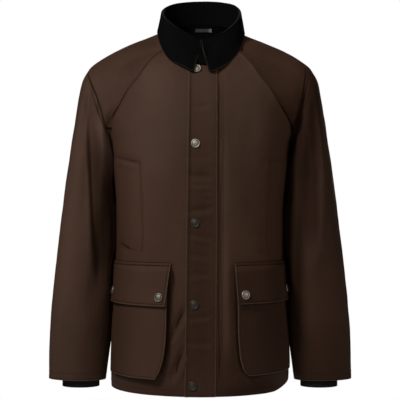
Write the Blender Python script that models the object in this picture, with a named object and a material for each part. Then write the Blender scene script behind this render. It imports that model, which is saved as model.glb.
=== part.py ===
"""A waxed cotton jacket, worn by nobody and still filled out, from the hem to the collar.

Metres, +Z up, the front faces -Y, the wearer's left is +X. The origin is in the middle of the neck, at the
level of the shoulders, where the wearer carries the jacket. Every cloth piece is a wall with an outer face
worked out from the tables below, and an inner face one cloth thickness inside it.
"""

import math
from collections import namedtuple

import bpy
import numpy as np

# Cloth and seams
CLOTH = 0.0018
COLLAR_CLOTH = 0.0026
KNIT = 0.0016
PATCH_CLOTH = 0.0012
SEAM_GAP = 0.0003
LAY_GAP = 0.00045
NECK_SEAM_GAP = 0.0006
SHARP_ANGLE = 40.0
CURVE_READS = 240
GROUND_STEPS = 4
PLACE_TRIES = 4

# Body, section by section from the hem to the armpit
BodySection = namedtuple("BodySection", "height half_width front back squareness")
BODY_SECTIONS = (
    BodySection(-0.7125, 0.1855, 0.1700, 0.1500, 2.10),
    BodySection(-0.660, 0.1860, 0.1690, 0.1490, 2.16),
    BodySection(-0.600, 0.1830, 0.1670, 0.1460, 2.24),
    BodySection(-0.530, 0.1790, 0.1650, 0.1410, 2.30),
    BodySection(-0.450, 0.1760, 0.1610, 0.1340, 2.30),
    BodySection(-0.390, 0.1750, 0.1580, 0.1290, 2.30),
    BodySection(-0.330, 0.1760, 0.1550, 0.1260, 2.30),
    BodySection(-0.280, 0.1810, 0.1530, 0.1260, 2.30),
    BodySection(-0.250, 0.1840, 0.1525, 0.1280, 2.30),
    BodySection(-0.214, 0.1880, 0.1520, 0.1310, 2.30),
)
UPPER_SQUARENESS = 2.30
NECK_SQUARENESS = 2.00
BODY_ROWS = (-0.7125, -0.682, -0.650, -0.612, -0.574, -0.536, -0.493, -0.450, -0.410, -0.370, -0.330,
             -0.290, -0.250, -0.214)
FRONT_COLUMNS = 10
BACK_COLUMNS = 9

# Middle of the front and of the back above the armpit: depth from the middle of the body at a height
MidLine = namedtuple("MidLine", "height depth")
FRONT_MID = (
    MidLine(-0.214, 0.1520),
    MidLine(-0.150, 0.1470),
    MidLine(-0.100, 0.1360),
    MidLine(-0.070, 0.1230),
    MidLine(-0.039, 0.1050),
)
BACK_MID = (
    MidLine(-0.214, 0.1310),
    MidLine(-0.150, 0.1310),
    MidLine(-0.100, 0.1240),
    MidLine(-0.050, 0.1110),
    MidLine(0.000, 0.0900),
    MidLine(0.052, 0.0650),
)

# Neck seam: an ellipse in plan, low in front and high behind
NECK_HALF_WIDTH = 0.084
NECK_HALF_DEPTH = 0.085
NECK_MIDDLE_Y = -0.020
NECK_SIDE_Z = 0.0105
NECK_RISE = 0.0455
NECK_FRONT_DIP = 0.0040
FRONT_SEAM_TURN = 54.0
BACK_SEAM_TURN = 139.0

# Raglan seams, from the armpit up to the neck
SeamPoint = namedtuple("SeamPoint", "x y z")
FRONT_SEAM = (
    SeamPoint(0.1880, 0.0000, -0.2140),
    SeamPoint(0.1905, -0.0350, -0.1960),
    SeamPoint(0.1850, -0.0660, -0.1720),
    SeamPoint(0.1690, -0.0920, -0.1460),
    SeamPoint(0.1570, -0.1040, -0.1270),
    SeamPoint(0.1450, -0.1110, -0.1060),
    SeamPoint(0.1300, -0.1140, -0.0890),
    SeamPoint(0.1120, -0.1090, -0.0610),
    SeamPoint(0.0910, -0.0930, -0.0350),
)
BACK_SEAM = (
    SeamPoint(0.1880, 0.0000, -0.2140),
    SeamPoint(0.1890, 0.0380, -0.1920),
    SeamPoint(0.1780, 0.0700, -0.1560),
    SeamPoint(0.1580, 0.0900, -0.1150),
    SeamPoint(0.1300, 0.1000, -0.0680),
    SeamPoint(0.1000, 0.0920, -0.0200),
    SeamPoint(0.0730, 0.0680, 0.0220),
)
SEAM_STEPS = 9
NECK_STEPS = 8

# Sleeve, section by section. Inner is the side at the body, outer is the side away from it.
SleeveSection = namedtuple("SleeveSection", "inner_x inner_z outer_x outer_z front back middle_y")
SLEEVE_SECTIONS = (
    SleeveSection(0.1942, -0.2190, 0.2240, -0.0470, 0.0700, 0.0760, 0.0000),
    SleeveSection(0.1880, -0.2410, 0.2440, -0.0760, 0.0810, 0.0830, 0.0000),
    SleeveSection(0.1800, -0.2750, 0.2555, -0.1300, 0.0860, 0.0860, -0.0010),
    SleeveSection(0.1770, -0.3150, 0.2665, -0.1950, 0.0840, 0.0840, -0.0030),
    SleeveSection(0.1710, -0.3650, 0.2765, -0.2650, 0.0800, 0.0800, -0.0060),
    SleeveSection(0.1700, -0.4250, 0.2865, -0.3450, 0.0750, 0.0760, -0.0090),
    SleeveSection(0.1730, -0.4900, 0.2980, -0.4400, 0.0670, 0.0680, -0.0130),
    SleeveSection(0.1790, -0.5550, 0.3075, -0.5300, 0.0580, 0.0600, -0.0160),
    SleeveSection(0.1860, -0.6200, 0.3130, -0.6120, 0.0480, 0.0500, -0.0190),
    SleeveSection(0.1955, -0.6990, 0.3145, -0.6970, 0.0400, 0.0420, -0.0210),
)
SLEEVE_SQUARENESS = 2.15
YOKE_STEPS = 4
YOKE_BULGE = 0.0090
SHOULDER_CORE = np.array((0.150, 0.0, -0.130))
ARM_STEPS = 16
SLEEVE_CLEAR = 0.0024
REST_REACH = 0.0120
YOKE_CLEAR = 0.0040

# Long folds. Turn goes round the sleeve in degrees: 0 inner side, 90 front, 180 outer side, 270 back.
FOLD_END_POWER = 0.8
SleeveFold = namedtuple("SleeveFold", "side turn lean top bottom depth half_turn")
SLEEVE_FOLDS = (
    SleeveFold(-1, 92, 6, -0.120, -0.400, 0.0080, 24),
    SleeveFold(-1, 128, -14, -0.100, -0.260, 0.0040, 20),
    SleeveFold(-1, 60, 10, -0.330, -0.560, 0.0045, 22),
    SleeveFold(-1, 262, 14, -0.140, -0.430, 0.0065, 24),
    SleeveFold(-1, 225, -18, -0.280, -0.520, 0.0045, 20),
    SleeveFold(1, 108, -8, -0.120, -0.390, 0.0070, 24),
    SleeveFold(1, 74, 12, -0.220, -0.480, 0.0050, 20),
    SleeveFold(1, 254, -12, -0.130, -0.400, 0.0065, 24),
    SleeveFold(1, 292, 16, -0.300, -0.560, 0.0045, 22),
)

# Long folds of the back: across is metres from the middle of the back
BackFold = namedtuple("BackFold", "across lean top bottom depth half_width")
BACK_FOLDS = (
    BackFold(-0.118, 0.020, -0.120, -0.420, 0.0060, 0.040),
    BackFold(0.104, -0.026, -0.150, -0.460, 0.0055, 0.042),
    BackFold(-0.052, -0.020, -0.380, -0.640, 0.0045, 0.040),
    BackFold(0.060, 0.018, -0.420, -0.680, 0.0045, 0.040),
)

# Knitted storm cuffs, inside the sleeve ends
CUFF_TOP = -0.650
CUFF_NECK = -0.668
CUFF_BOTTOM = -0.7130
CUFF_HALF_WIDTH = 0.0420
CUFF_HALF_DEPTH = 0.0290
CUFF_MIDDLE_X = 0.2517
CUFF_MIDDLE_Y = -0.0240
CUFF_RIBS = 28
CUFF_RIB_HEIGHT = 0.0011
CUFF_TOP_GAP = 0.0008

# Collar. Its middle lies a little to the wearer's left, as the closing edge does.
COLLAR_MIDDLE_X = 0.0028
COLLAR_COLUMNS = 34
COLLAR_FRONT_TURN = 3.4
ROLL_HALF_WIDTH = 0.0800
ROLL_HALF_DEPTH = 0.0735
ROLL_MIDDLE_Y = -0.0040
ROLL_FRONT_Z = -0.0030
ROLL_BACK_Z = 0.1000
ROLL_POWER = 1.1
ROLL_RADIUS = 0.0048
STAND_INSET = 0.0023
FALL_REST = 0.0015
FALL_OVER_SNAP = 0.0075
FALL_OVER_SNAP_TURN = 22.0
FALL_RESTS_TURN = 42.0
COLLAR_BODY_ROWS = 8
COLLAR_YOKE_ROWS = 5
ROLL_BENDS = (45.0, 90.0, 135.0, 180.0)
FALL_SHARES = (0.34, 0.67, 1.0)
FallPoint = namedtuple("FallPoint", "turn x y z")
FALL_EDGE = (
    FallPoint(0, 0.0150, -0.1315, -0.0717),
    FallPoint(15, 0.0260, -0.1310, -0.0717),
    FallPoint(25, 0.0350, -0.1275, -0.0625),
    FallPoint(36, 0.0480, -0.1205, -0.0525),
    FallPoint(47, 0.0600, -0.1090, -0.0440),
    FallPoint(58, 0.0715, -0.0910, -0.0325),
    FallPoint(70, 0.0800, -0.0670, -0.0160),
    FallPoint(82, 0.0870, -0.0390, 0.0030),
    FallPoint(96, 0.0920, -0.0060, 0.0200),
    FallPoint(115, 0.0890, 0.0350, 0.0310),
    FallPoint(140, 0.0680, 0.0690, 0.0370),
    FallPoint(160, 0.0370, 0.0840, 0.0380),
    FallPoint(180, 0.0000, 0.0880, 0.0380),
)

# Storm flap over the centre front
StormEdge = namedtuple("StormEdge", "height free seamed")
STORM_EDGES = (
    StormEdge(-0.7125, -0.0295, 0.0302),
    StormEdge(-0.390, -0.0260, 0.0330),
    StormEdge(-0.210, -0.0235, 0.0335),
    StormEdge(-0.046, -0.0220, 0.0340),
)
STORM_CLOTH = 0.0020
STORM_BED = 0.0010
STORM_TOP = -0.0470
STORM_ROW_APART = 0.0060

# Snap caps
SNAP_RADIUS = 0.0089
SNAP_HEIGHT = 0.0034
SNAP_SIDES = 14
CapRing = namedtuple("CapRing", "radius_share height_share")
SNAP_RINGS = (CapRing(0.90, 0.0), CapRing(1.00, 0.28), CapRing(0.94, 0.66), CapRing(0.60, 1.0))
SnapSpot = namedtuple("SnapSpot", "x z")
STORM_SNAPS = (
    SnapSpot(-0.0065, -0.0660),
    SnapSpot(-0.0086, -0.2160),
    SnapSpot(-0.0094, -0.3725),
    SnapSpot(-0.0113, -0.5320),
    SnapSpot(-0.0146, -0.6900),
)

# Lower pockets. Side -1 is the wearer's right, which is at -X.
PocketRow = namedtuple("PocketRow", "height inner_x")
PocketPlan = namedtuple("PocketPlan", "side name bag flap snap_x snap_z outer_snap_column")
POCKETS = (
    PocketPlan(
        -1,
        "right",
        (
            PocketRow(-0.472, 0.0610),
            PocketRow(-0.536, 0.0635),
            PocketRow(-0.612, 0.0670),
            PocketRow(-0.650, 0.0740),
            PocketRow(-0.668, 0.0820),
            PocketRow(-0.681, 0.0970),
        ),
        (PocketRow(-0.450, 0.0567), PocketRow(-0.535, 0.0696)),
        0.0760,
        -0.5175,
        7.95,
    ),
    PocketPlan(
        1,
        "left",
        (
            PocketRow(-0.472, 0.0715),
            PocketRow(-0.536, 0.0725),
            PocketRow(-0.612, 0.0760),
            PocketRow(-0.650, 0.0840),
            PocketRow(-0.668, 0.0920),
            PocketRow(-0.681, 0.1070),
        ),
        (PocketRow(-0.449, 0.0706), PocketRow(-0.534, 0.0759)),
        0.0850,
        -0.5130,
        8.15,
    ),
)
POCKET_END_COLUMN = 8.75
POCKET_STAND_INNER_TOP = 0.0120
POCKET_STAND_INNER_LOW = 0.0150
POCKET_STAND_END = 0.0050
POCKET_STAND_DEPTH = 0.1600
POCKET_STAND_POWER = 0.9
POCKET_FOOT_SPREAD = 0.0030
POCKET_FOOT_GAP = 0.0008
FLAP_CLOTH = 0.0020
FLAP_BED = 0.0010
FLAP_RISE_ROW = -0.4600
FLAP_OVER_ROW = -0.4690
FLAP_OVERHANG_COLUMNS = 0.12
POCKET_ROW_APART = 0.0120
LEAST_COLUMN_STEP = 0.10

# Handwarmer patches above the pockets
HANDWARMER_INNER_X = (0.1130, 0.1330)
HANDWARMER_TOP = -0.2500
HANDWARMER_TOP_SLANT = 0.0140
HANDWARMER_BOTTOM = -0.4290
HANDWARMER_BOTTOM_SLANT = 0.0140
HANDWARMER_END_COLUMN = 8.3
HANDWARMER_LEVELS = (0.0, 0.22, 0.41, 0.61, 0.81, 1.0)

# Facing and blank label inside the back of the neck
FACING_ROWS = 2
FACING_COLUMNS = 5
FACING_CLOTH = 0.0010
FACING_GAP = 0.0009
LABEL_CLOTH = 0.0010
LABEL_LEFT = -0.0100
LABEL_RIGHT = 0.0260
LABEL_LOW = 0.0320
LABEL_HIGH = 0.0415
LABEL_COLUMNS = 4
FACING_TOP_GAP = 0.0018

# Finishes: colour, roughness, metallic
Finish = namedtuple("Finish", "colour roughness metallic")
WAXED_COTTON = Finish((0.060, 0.037, 0.027, 1.0), 0.62, 0.0)
CORD_CLOTH = Finish((0.008, 0.008, 0.009, 1.0), 0.85, 0.0)
KNITTED_RIB = Finish((0.007, 0.007, 0.008, 1.0), 0.90, 0.0)
FACING_BLACK = Finish((0.006, 0.006, 0.007, 1.0), 0.85, 0.0)
LABEL_GREY = Finish((0.300, 0.300, 0.300, 1.0), 0.70, 0.0)
SNAP_SILVER = Finish((0.360, 0.340, 0.300, 1.0), 0.38, 1.0)

Sheet = namedtuple("Sheet", "points normals wrapped")


def clear_scene():
    for leftover in list(bpy.data.objects):
        bpy.data.objects.remove(leftover, do_unlink=True)


def finish_material(name, finish):
    """One Principled material for one piece."""
    material = bpy.data.materials.new(name + "_finish")
    material.use_nodes = True
    shader = material.node_tree.nodes["Principled BSDF"]
    shader.inputs["Base Color"].default_value = finish.colour
    shader.inputs["Roughness"].default_value = finish.roughness
    shader.inputs["Metallic"].default_value = finish.metallic
    material.diffuse_color = finish.colour
    return material


def unit(vectors):
    lengths = np.linalg.norm(vectors, axis=-1, keepdims=True)
    return vectors / np.maximum(lengths, 1e-12)


def smooth_read(keys, values, where):
    """A smooth curve through the values at rising keys, read at where."""
    keys = np.asarray(keys, float)
    values = np.asarray(values, float)
    slopes = np.gradient(values, keys, axis=0)
    spot = min(max(where, keys[0]), keys[-1])
    low = int(np.clip(np.searchsorted(keys, spot) - 1, 0, len(keys) - 2))
    span = keys[low + 1] - keys[low]
    t = (spot - keys[low]) / span
    rise = t * t * (3.0 - 2.0 * t)
    leave = t * (1.0 - t) ** 2 * span
    arrive = t * t * (t - 1.0) * span
    return values[low] * (1.0 - rise) + values[low + 1] * rise + slopes[low] * leave + slopes[low + 1] * arrive


def read_table(table, key, column, where):
    rows = sorted(table, key=lambda row: getattr(row, key))
    keys = [getattr(row, key) for row in rows]
    values = [getattr(row, column) for row in rows]
    return float(smooth_read(keys, values, where))


def soft_step(value):
    t = min(max(value, 0.0), 1.0)
    return t * t * (3.0 - 2.0 * t)


def hump(distance, half_width):
    """1 in the middle of a fold, 0 at its half width and beyond."""
    reach = abs(distance) / half_width
    return 0.5 * (1.0 + math.cos(math.pi * reach)) if reach < 1.0 else 0.0


def fold_length_share(height, top, bottom):
    """How much of its depth a fold has at a height: it fades out towards both ends."""
    share = (top - height) / (top - bottom)
    return math.sin(math.pi * share) ** FOLD_END_POWER if 0.0 < share < 1.0 else 0.0


def even_points(points, steps):
    """Points at even distances along a smooth curve through the given points."""
    points = np.asarray(points, float)
    keys = np.arange(len(points), dtype=float)
    fine = np.array([smooth_read(keys, points, spot) for spot in np.linspace(0.0, len(points) - 1.0, CURVE_READS)])
    run = np.concatenate([[0.0], np.cumsum(np.linalg.norm(np.diff(fine, axis=0), axis=1))])
    spots = np.linspace(0.0, run[-1], steps + 1)
    return np.stack([np.interp(spots, run, fine[:, axis]) for axis in range(3)], axis=1)


def neck_point(turn):
    """The neck seam on the wearer's left, at a turn in degrees: 0 centre front, 180 centre back."""
    cosine = math.cos(math.radians(turn))
    return np.array((
        NECK_HALF_WIDTH * math.sin(math.radians(turn)),
        NECK_MIDDLE_Y - NECK_HALF_DEPTH * cosine,
        NECK_SIDE_Z - NECK_RISE * cosine - NECK_FRONT_DIP * cosine * cosine,
    ))


def body_row(height, columns, back):
    """Outer points of the body at a height below the armpit, from the middle to the side."""
    half_width = read_table(BODY_SECTIONS, "height", "half_width", height)
    depth = read_table(BODY_SECTIONS, "height", "back" if back else "front", height)
    power = 2.0 / read_table(BODY_SECTIONS, "height", "squareness", height)
    row = []
    for column in range(columns + 1):
        turn = 0.5 * math.pi * column / columns
        x = half_width * math.sin(turn) ** power
        y = depth * max(math.cos(turn), 0.0) ** power
        row.append((x, y if back else -y, height))
    return np.array(row)


def upper_row(seam_point, climb, columns, back):
    """Outer points above the armpit, from the middle of the front or back to the raglan seam."""
    mid_line = BACK_MID if back else FRONT_MID
    way = 1.0 if back else -1.0
    top_z = neck_point(180.0 if back else 0.0)[2]
    armpit_z = FRONT_SEAM[0].z
    neck_seam_z = neck_point(BACK_SEAM_TURN if back else FRONT_SEAM_TURN)[2]
    share = (seam_point[2] - armpit_z) / (neck_seam_z - armpit_z)
    mid_z = armpit_z + share * (top_z - armpit_z)
    middle_y = NECK_MIDDLE_Y * climb ** 2
    depth = read_table(mid_line, "height", "depth", mid_z) - way * middle_y
    squareness = UPPER_SQUARENESS + (NECK_SQUARENESS - UPPER_SQUARENESS) * climb
    inward = min(abs(seam_point[1] - middle_y) / depth, 0.999)
    half_width = seam_point[0] / (1.0 - inward ** squareness) ** (1.0 / squareness)
    seam_turn = math.asin(min(seam_point[0] / half_width, 1.0) ** (squareness / 2.0))
    row = []
    for column in range(columns + 1):
        turn = seam_turn * column / columns
        x = half_width * math.sin(turn) ** (2.0 / squareness)
        out = depth * max(math.cos(turn), 0.0) ** (2.0 / squareness)
        y = middle_y + way * out
        mid_y = middle_y + way * depth
        change = (y - mid_y) / (seam_point[1] - mid_y)
        row.append((x, y, mid_z + change * (seam_point[2] - mid_z)))
    row[-1] = tuple(seam_point)
    return np.array(row)


def seam_curve(back):
    """The raglan seam from the armpit to the neck, at even steps."""
    table = BACK_SEAM if back else FRONT_SEAM
    points = [tuple(point) for point in table]
    points.append(tuple(neck_point(BACK_SEAM_TURN if back else FRONT_SEAM_TURN)))
    return even_points(points, SEAM_STEPS)


def half_body(columns, back):
    """The front or half the back on the wearer's left, from the hem to the neck."""
    rows = [body_row(height, columns, back) for height in BODY_ROWS[:-1]]
    seam = seam_curve(back)
    for step, point in enumerate(seam):
        rows.append(upper_row(point, step / SEAM_STEPS, columns, back))
    return np.array(rows)


def fold_back(points):
    """Press the long folds into the back."""
    folded = points.copy()
    for index in np.ndindex(points.shape[:2]):
        x, y, z = points[index]
        dip = 0.0
        for fold in BACK_FOLDS:
            share = (fold.top - z) / (fold.top - fold.bottom)
            across = fold.across + fold.lean * share
            dip += fold.depth * hump(x - across, fold.half_width) * fold_length_share(z, fold.top, fold.bottom)
        folded[index][1] = y - dip
    return folded


def sleeve_ring(along, side):
    """One ring of the arm at a place along the sections, from the inner side round the front."""
    keys = range(len(SLEEVE_SECTIONS))
    inner_x, inner_z, outer_x, outer_z, front, back, middle_y = (
        smooth_read(keys, [section[column] for section in SLEEVE_SECTIONS], along)
        for column in range(len(SleeveSection._fields))
    )
    columns = 2 * SEAM_STEPS + NECK_STEPS
    power = 2.0 / SLEEVE_SQUARENESS
    ring = []
    for column in range(columns):
        turn = 2.0 * math.pi * column / columns
        over = -math.copysign(abs(math.cos(turn)) ** power, math.cos(turn))
        out = abs(math.sin(turn)) ** power
        x = 0.5 * (inner_x + outer_x) + 0.5 * (outer_x - inner_x) * over
        z = 0.5 * (inner_z + outer_z) + 0.5 * (outer_z - inner_z) * over
        y = middle_y + (-front if turn <= math.pi else back) * out
        dip = sum(sleeve_dip(fold, math.degrees(turn), z) for fold in SLEEVE_FOLDS if fold.side == side)
        centre = np.array((0.5 * (inner_x + outer_x), middle_y, z))
        point = np.array((x, y, z))
        ring.append(point - unit(point - centre) * dip)
    return np.array(ring)


def sleeve_dip(fold, turn, height):
    share = (fold.top - height) / (fold.top - fold.bottom)
    away = (turn - fold.turn - fold.lean * share + 180.0) % 360.0 - 180.0
    return fold.depth * hump(away, fold.half_turn) * fold_length_share(height, fold.top, fold.bottom)


def raglan_loop():
    """The edge that the sleeve is sewn in by: up the front seam, along the neck, down the back seam."""
    front = seam_curve(False)
    back = seam_curve(True)
    turns = np.linspace(FRONT_SEAM_TURN, BACK_SEAM_TURN, NECK_STEPS + 1)[1:-1]
    neck = [neck_point(turn) for turn in turns]
    return np.concatenate([front, np.array(neck), back[:0:-1]])


def sleeve_points(side):
    """Rows of rings from the raglan seams over the shoulder and down to the sleeve hem."""
    loop = raglan_loop()
    armhole = sleeve_ring(0.0, side)
    columns = len(loop)
    rows = []
    for step in range(YOKE_STEPS):
        t = step / YOKE_STEPS
        flat = loop * (1.0 - t) + armhole * t
        lift = np.array([0.5 * (1.0 - math.cos(2.0 * math.pi * column / columns)) for column in range(columns)])
        away = unit(flat - SHOULDER_CORE)
        rows.append(flat + away * (YOKE_BULGE * 4.0 * t * (1.0 - t) * lift)[:, None])
    last = len(SLEEVE_SECTIONS) - 1.0
    for along in np.linspace(0.0, last, ARM_STEPS + 1):
        rows.append(sleeve_ring(along, side))
    return np.array(rows)


def mirrored(points):
    return points * np.array((-1.0, 1.0, 1.0))


def grid_normals(points, wrapped, outward):
    """Unit normals of a grid of points, turned to the side that outward(points) points to."""
    along = np.gradient(points, axis=0)
    if wrapped:
        across = np.roll(points, -1, axis=1) - np.roll(points, 1, axis=1)
    else:
        across = np.gradient(points, axis=1)
    normals = unit(np.cross(across, along))
    votes = np.sum(normals * outward(points))
    return normals if votes > 0.0 else -normals


def from_axis(points):
    """Directions away from the upright axis of the body."""
    return unit(points * np.array((1.0, 1.0, 0.0)))


def from_ring_middles(points):
    return unit(points - points.mean(axis=1, keepdims=True))


def share_normals(sheets):
    """At a seam both pieces take the mean of their directions, so their edges face each other."""
    totals = {}
    for sheet in sheets:
        for point, normal in zip(sheet.points.reshape(-1, 3), sheet.normals.reshape(-1, 3)):
            key = tuple(np.round(point, 6) + 0.0)
            totals[key] = totals.get(key, np.zeros(3)) + normal
    shared = []
    for sheet in sheets:
        keys = [tuple(np.round(point, 6) + 0.0) for point in sheet.points.reshape(-1, 3)]
        normals = unit(np.array([totals[key] for key in keys])).reshape(sheet.points.shape)
        shared.append(Sheet(sheet.points, normals, sheet.wrapped))
    return shared


def away_from_seam(edge, beside, normals, wrapped):
    """Directions from a seam into a piece, square to the seam and to the direction both pieces share."""
    if wrapped:
        tangents = unit(np.roll(edge, -1, axis=0) - np.roll(edge, 1, axis=0))
    else:
        tangents = unit(np.gradient(edge, axis=0))
    square = unit(np.cross(tangents, normals))
    ways = np.sign(np.sum(square * (beside - edge), axis=1, keepdims=True))
    return square * ways


def trimmed(sheet, edges, gap):
    """Move the named edges of a sheet back from their seams by half a gap."""
    points = sheet.points.copy()
    old = sheet.points
    normals = sheet.normals
    step = 0.5 * gap
    if "first_row" in edges:
        points[0] += away_from_seam(old[0], old[1], normals[0], sheet.wrapped) * step
    if "last_row" in edges:
        points[-1] += away_from_seam(old[-1], old[-2], normals[-1], sheet.wrapped) * step
    if "first_column" in edges:
        points[:, 0] += away_from_seam(old[:, 0], old[:, 1], normals[:, 0], False) * step
    if "last_column" in edges:
        points[:, -1] += away_from_seam(old[:, -1], old[:, -2], normals[:, -1], False) * step
    return Sheet(points, normals, sheet.wrapped)


def wall(name, sheet, thickness, finish):
    """A closed solid between a sheet's points and the same points one thickness inside, along its directions."""
    outer = sheet.points
    rows, columns = outer.shape[:2]
    inner = outer - sheet.normals * thickness
    count = rows * columns
    points = np.concatenate([outer.reshape(-1, 3), inner.reshape(-1, 3)])
    spans = columns if sheet.wrapped else columns - 1

    def corner(row, column, inside):
        return row * columns + column % columns + (count if inside else 0)

    middle_row = rows // 2
    middle_column = columns // 2
    across = outer[middle_row, (middle_column + 1) % columns] - outer[middle_row, middle_column]
    along = outer[(middle_row + 1) % rows, middle_column] - outer[middle_row, middle_column]
    if middle_row + 1 >= rows:
        along = outer[middle_row, middle_column] - outer[middle_row - 1, middle_column]
    if not sheet.wrapped and middle_column + 1 >= columns:
        across = outer[middle_row, middle_column] - outer[middle_row, middle_column - 1]
    keeps = np.dot(np.cross(across, along), sheet.normals[middle_row, middle_column]) > 0.0

    def face(corners):
        """The corners in the order that faces out, so that every face splits from the same corner."""
        return corners if keeps else corners[:1] + corners[:0:-1]

    def rim(corners):
        """Two triangles, split from the lower outer corner, so that both pieces at a seam split alike."""
        first, second, third, fourth = corners
        outers = [corner_index for corner_index in corners if corner_index < count]
        low = min(outers, key=lambda corner_index: points[corner_index][2])
        if low in (first, third):
            return [face([first, second, third]), face([first, third, fourth])]
        return [face([first, second, fourth]), face([second, third, fourth])]

    faces = []
    for row in range(rows - 1):
        for column in range(spans):
            a = (row, column)
            b = (row, column + 1)
            c = (row + 1, column + 1)
            d = (row + 1, column)
            faces.append(face([corner(*spot, False) for spot in (a, b, c, d)]))
            faces.append(face([corner(*spot, True) for spot in (a, d, c, b)]))
    for column in range(spans):
        low = [corner(0, column, True), corner(0, column + 1, True)]
        low += [corner(0, column + 1, False), corner(0, column, False)]
        high = [corner(rows - 1, column, False), corner(rows - 1, column + 1, False)]
        high += [corner(rows - 1, column + 1, True), corner(rows - 1, column, True)]
        faces += rim(low) + rim(high)
    if not sheet.wrapped:
        for row in range(rows - 1):
            left = [corner(row + 1, 0, True), corner(row, 0, True)]
            left += [corner(row, 0, False), corner(row + 1, 0, False)]
            right = [corner(row, columns - 1, True), corner(row + 1, columns - 1, True)]
            right += [corner(row + 1, columns - 1, False), corner(row, columns - 1, False)]
            faces += rim(left) + rim(right)
    return add_piece(name, points, faces, finish)


def add_piece(name, points, faces, finish):
    mesh = bpy.data.meshes.new(name)
    mesh.from_pydata([tuple(point) for point in points], [], [tuple(face) for face in faces])
    mesh.update()
    mesh.shade_smooth()
    mesh.set_sharp_from_angle(angle=math.radians(SHARP_ANGLE))
    piece = bpy.data.objects.new(name, mesh)
    piece.data.materials.append(finish_material(name, finish))
    bpy.context.scene.collection.objects.link(piece)
    return piece


def read_sheet(sheet, row, column):
    """The point and direction of a sheet at a place between its rows and columns."""
    rows, columns = sheet.points.shape[:2]
    low_row = int(min(max(math.floor(row), 0), rows - 2))
    low_column = int(min(max(math.floor(column), 0), columns - 2))
    t = row - low_row
    s = column - low_column

    def blend(grid):
        near = grid[low_row, low_column] * (1.0 - s) + grid[low_row, low_column + 1] * s
        far = grid[low_row + 1, low_column] * (1.0 - s) + grid[low_row + 1, low_column + 1] * s
        return near * (1.0 - t) + far * t

    return blend(sheet.points), unit(blend(sheet.normals))


def row_at(sheet, column, height):
    """The row place at which a column of a body sheet reaches a height."""
    low = int(min(max(math.floor(column), 0), sheet.points.shape[1] - 2))
    s = column - low
    heights = sheet.points[:, low, 2] * (1.0 - s) + sheet.points[:, low + 1, 2] * s
    return float(np.interp(height, heights, np.arange(len(heights))))


def column_at(sheet, row, out):
    """The column place at which a row of a body sheet is out metres from the middle."""
    low = int(min(max(math.floor(row), 0), sheet.points.shape[0] - 2))
    t = row - low
    reach = np.abs(sheet.points[low, :, 0] * (1.0 - t) + sheet.points[low + 1, :, 0] * t)
    return float(np.interp(out, reach, np.arange(len(reach))))


def place_at(sheet, out, height):
    """The row and column place on a front that is out metres from the middle, at a height."""
    column = column_at(sheet, row_at(sheet, 0.0, height), out)
    for _ in range(PLACE_TRIES):
        row = row_at(sheet, column, height)
        column = column_at(sheet, row, out)
    return row, column


def laid_points(sheet, places, lifts):
    """Points over a sheet: a grid of row and column places, each lifted by its own height."""
    points = np.empty(places.shape[:2] + (3,))
    normals = np.empty_like(points)
    for index in np.ndindex(places.shape[:2]):
        point, normal = read_sheet(sheet, *places[index])
        points[index] = point + normal * lifts[index]
        normals[index] = normal
    return points, normals


def turned_cap(name, point, normal, lift, finish):
    """A snap cap: a low turned dome whose flat back lies over a piece."""
    side = unit(np.cross(np.array((0.0, 0.0, 1.0)), normal))
    rise = np.cross(normal, side)
    base = point + normal * lift
    points = []
    for cap_ring in SNAP_RINGS:
        radius = SNAP_RADIUS * cap_ring.radius_share
        height = SNAP_HEIGHT * cap_ring.height_share
        for step in range(SNAP_SIDES):
            turn = 2.0 * math.pi * step / SNAP_SIDES
            ring = side * math.cos(turn) + rise * math.sin(turn)
            points.append(base + ring * radius + normal * height)
    faces = []
    for ring in range(len(SNAP_RINGS) - 1):
        for step in range(SNAP_SIDES):
            after = (step + 1) % SNAP_SIDES
            low = ring * SNAP_SIDES
            high = low + SNAP_SIDES
            faces.append((low + step, low + after, high + after, high + step))
    faces.append(tuple(range(SNAP_SIDES - 1, -1, -1)))
    top = (len(SNAP_RINGS) - 1) * SNAP_SIDES
    faces.append(tuple(range(top, top + SNAP_SIDES)))
    return add_piece(name, np.array(points), faces, finish)


def fine_sheet(sheet, steps):
    """Points and directions at even places between a sheet's rows and columns."""
    rows, columns = sheet.points.shape[:2]
    places = [
        (row / steps, column / steps)
        for row in range((rows - 1) * steps + 1)
        for column in range((columns - 1) * steps + 1)
    ]
    read = [read_sheet(sheet, *place) for place in places]
    return np.array([point for point, _ in read]), np.array([normal for _, normal in read])


def rested(point, ground, directions, obstacles, clear):
    """The point, moved out from the ground below it until it is clear of every obstacle near it."""
    direction = directions[int(np.argmin(np.sum((ground - point) ** 2, axis=1)))]
    beside = obstacles[np.sum((obstacles - point) ** 2, axis=1) < REST_REACH ** 2]
    if len(beside) == 0:
        return point
    height = float(np.min((point - beside) @ direction))
    return point + direction * max(clear - height, 0.0)


def body_ground(sheets):
    """Fine points and directions of the fronts and the back. At the raglan edges the direction is nil."""
    armpit = len(BODY_ROWS) - 1
    grounds = []
    for sheet in sheets:
        normals = sheet.normals.copy()
        normals[armpit:, 0] = 0.0
        normals[armpit:, -1] = 0.0
        low = Sheet(sheet.points[:armpit], normals[:armpit], False)
        high = Sheet(sheet.points[armpit - 1:], normals[armpit - 1:], False)
        points, ways = fine_sheet(high, GROUND_STEPS)
        spans = GROUND_STEPS * (high.points.shape[1] - 1)
        place = np.arange(len(points)) % (spans + 1)
        ways[(place == 0) | (place == spans)] = 0.0
        grounds += [fine_sheet(low, GROUND_STEPS), (points, ways)]
    return np.concatenate([grid for grid, _ in grounds]), np.concatenate([way for _, way in grounds])


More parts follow.
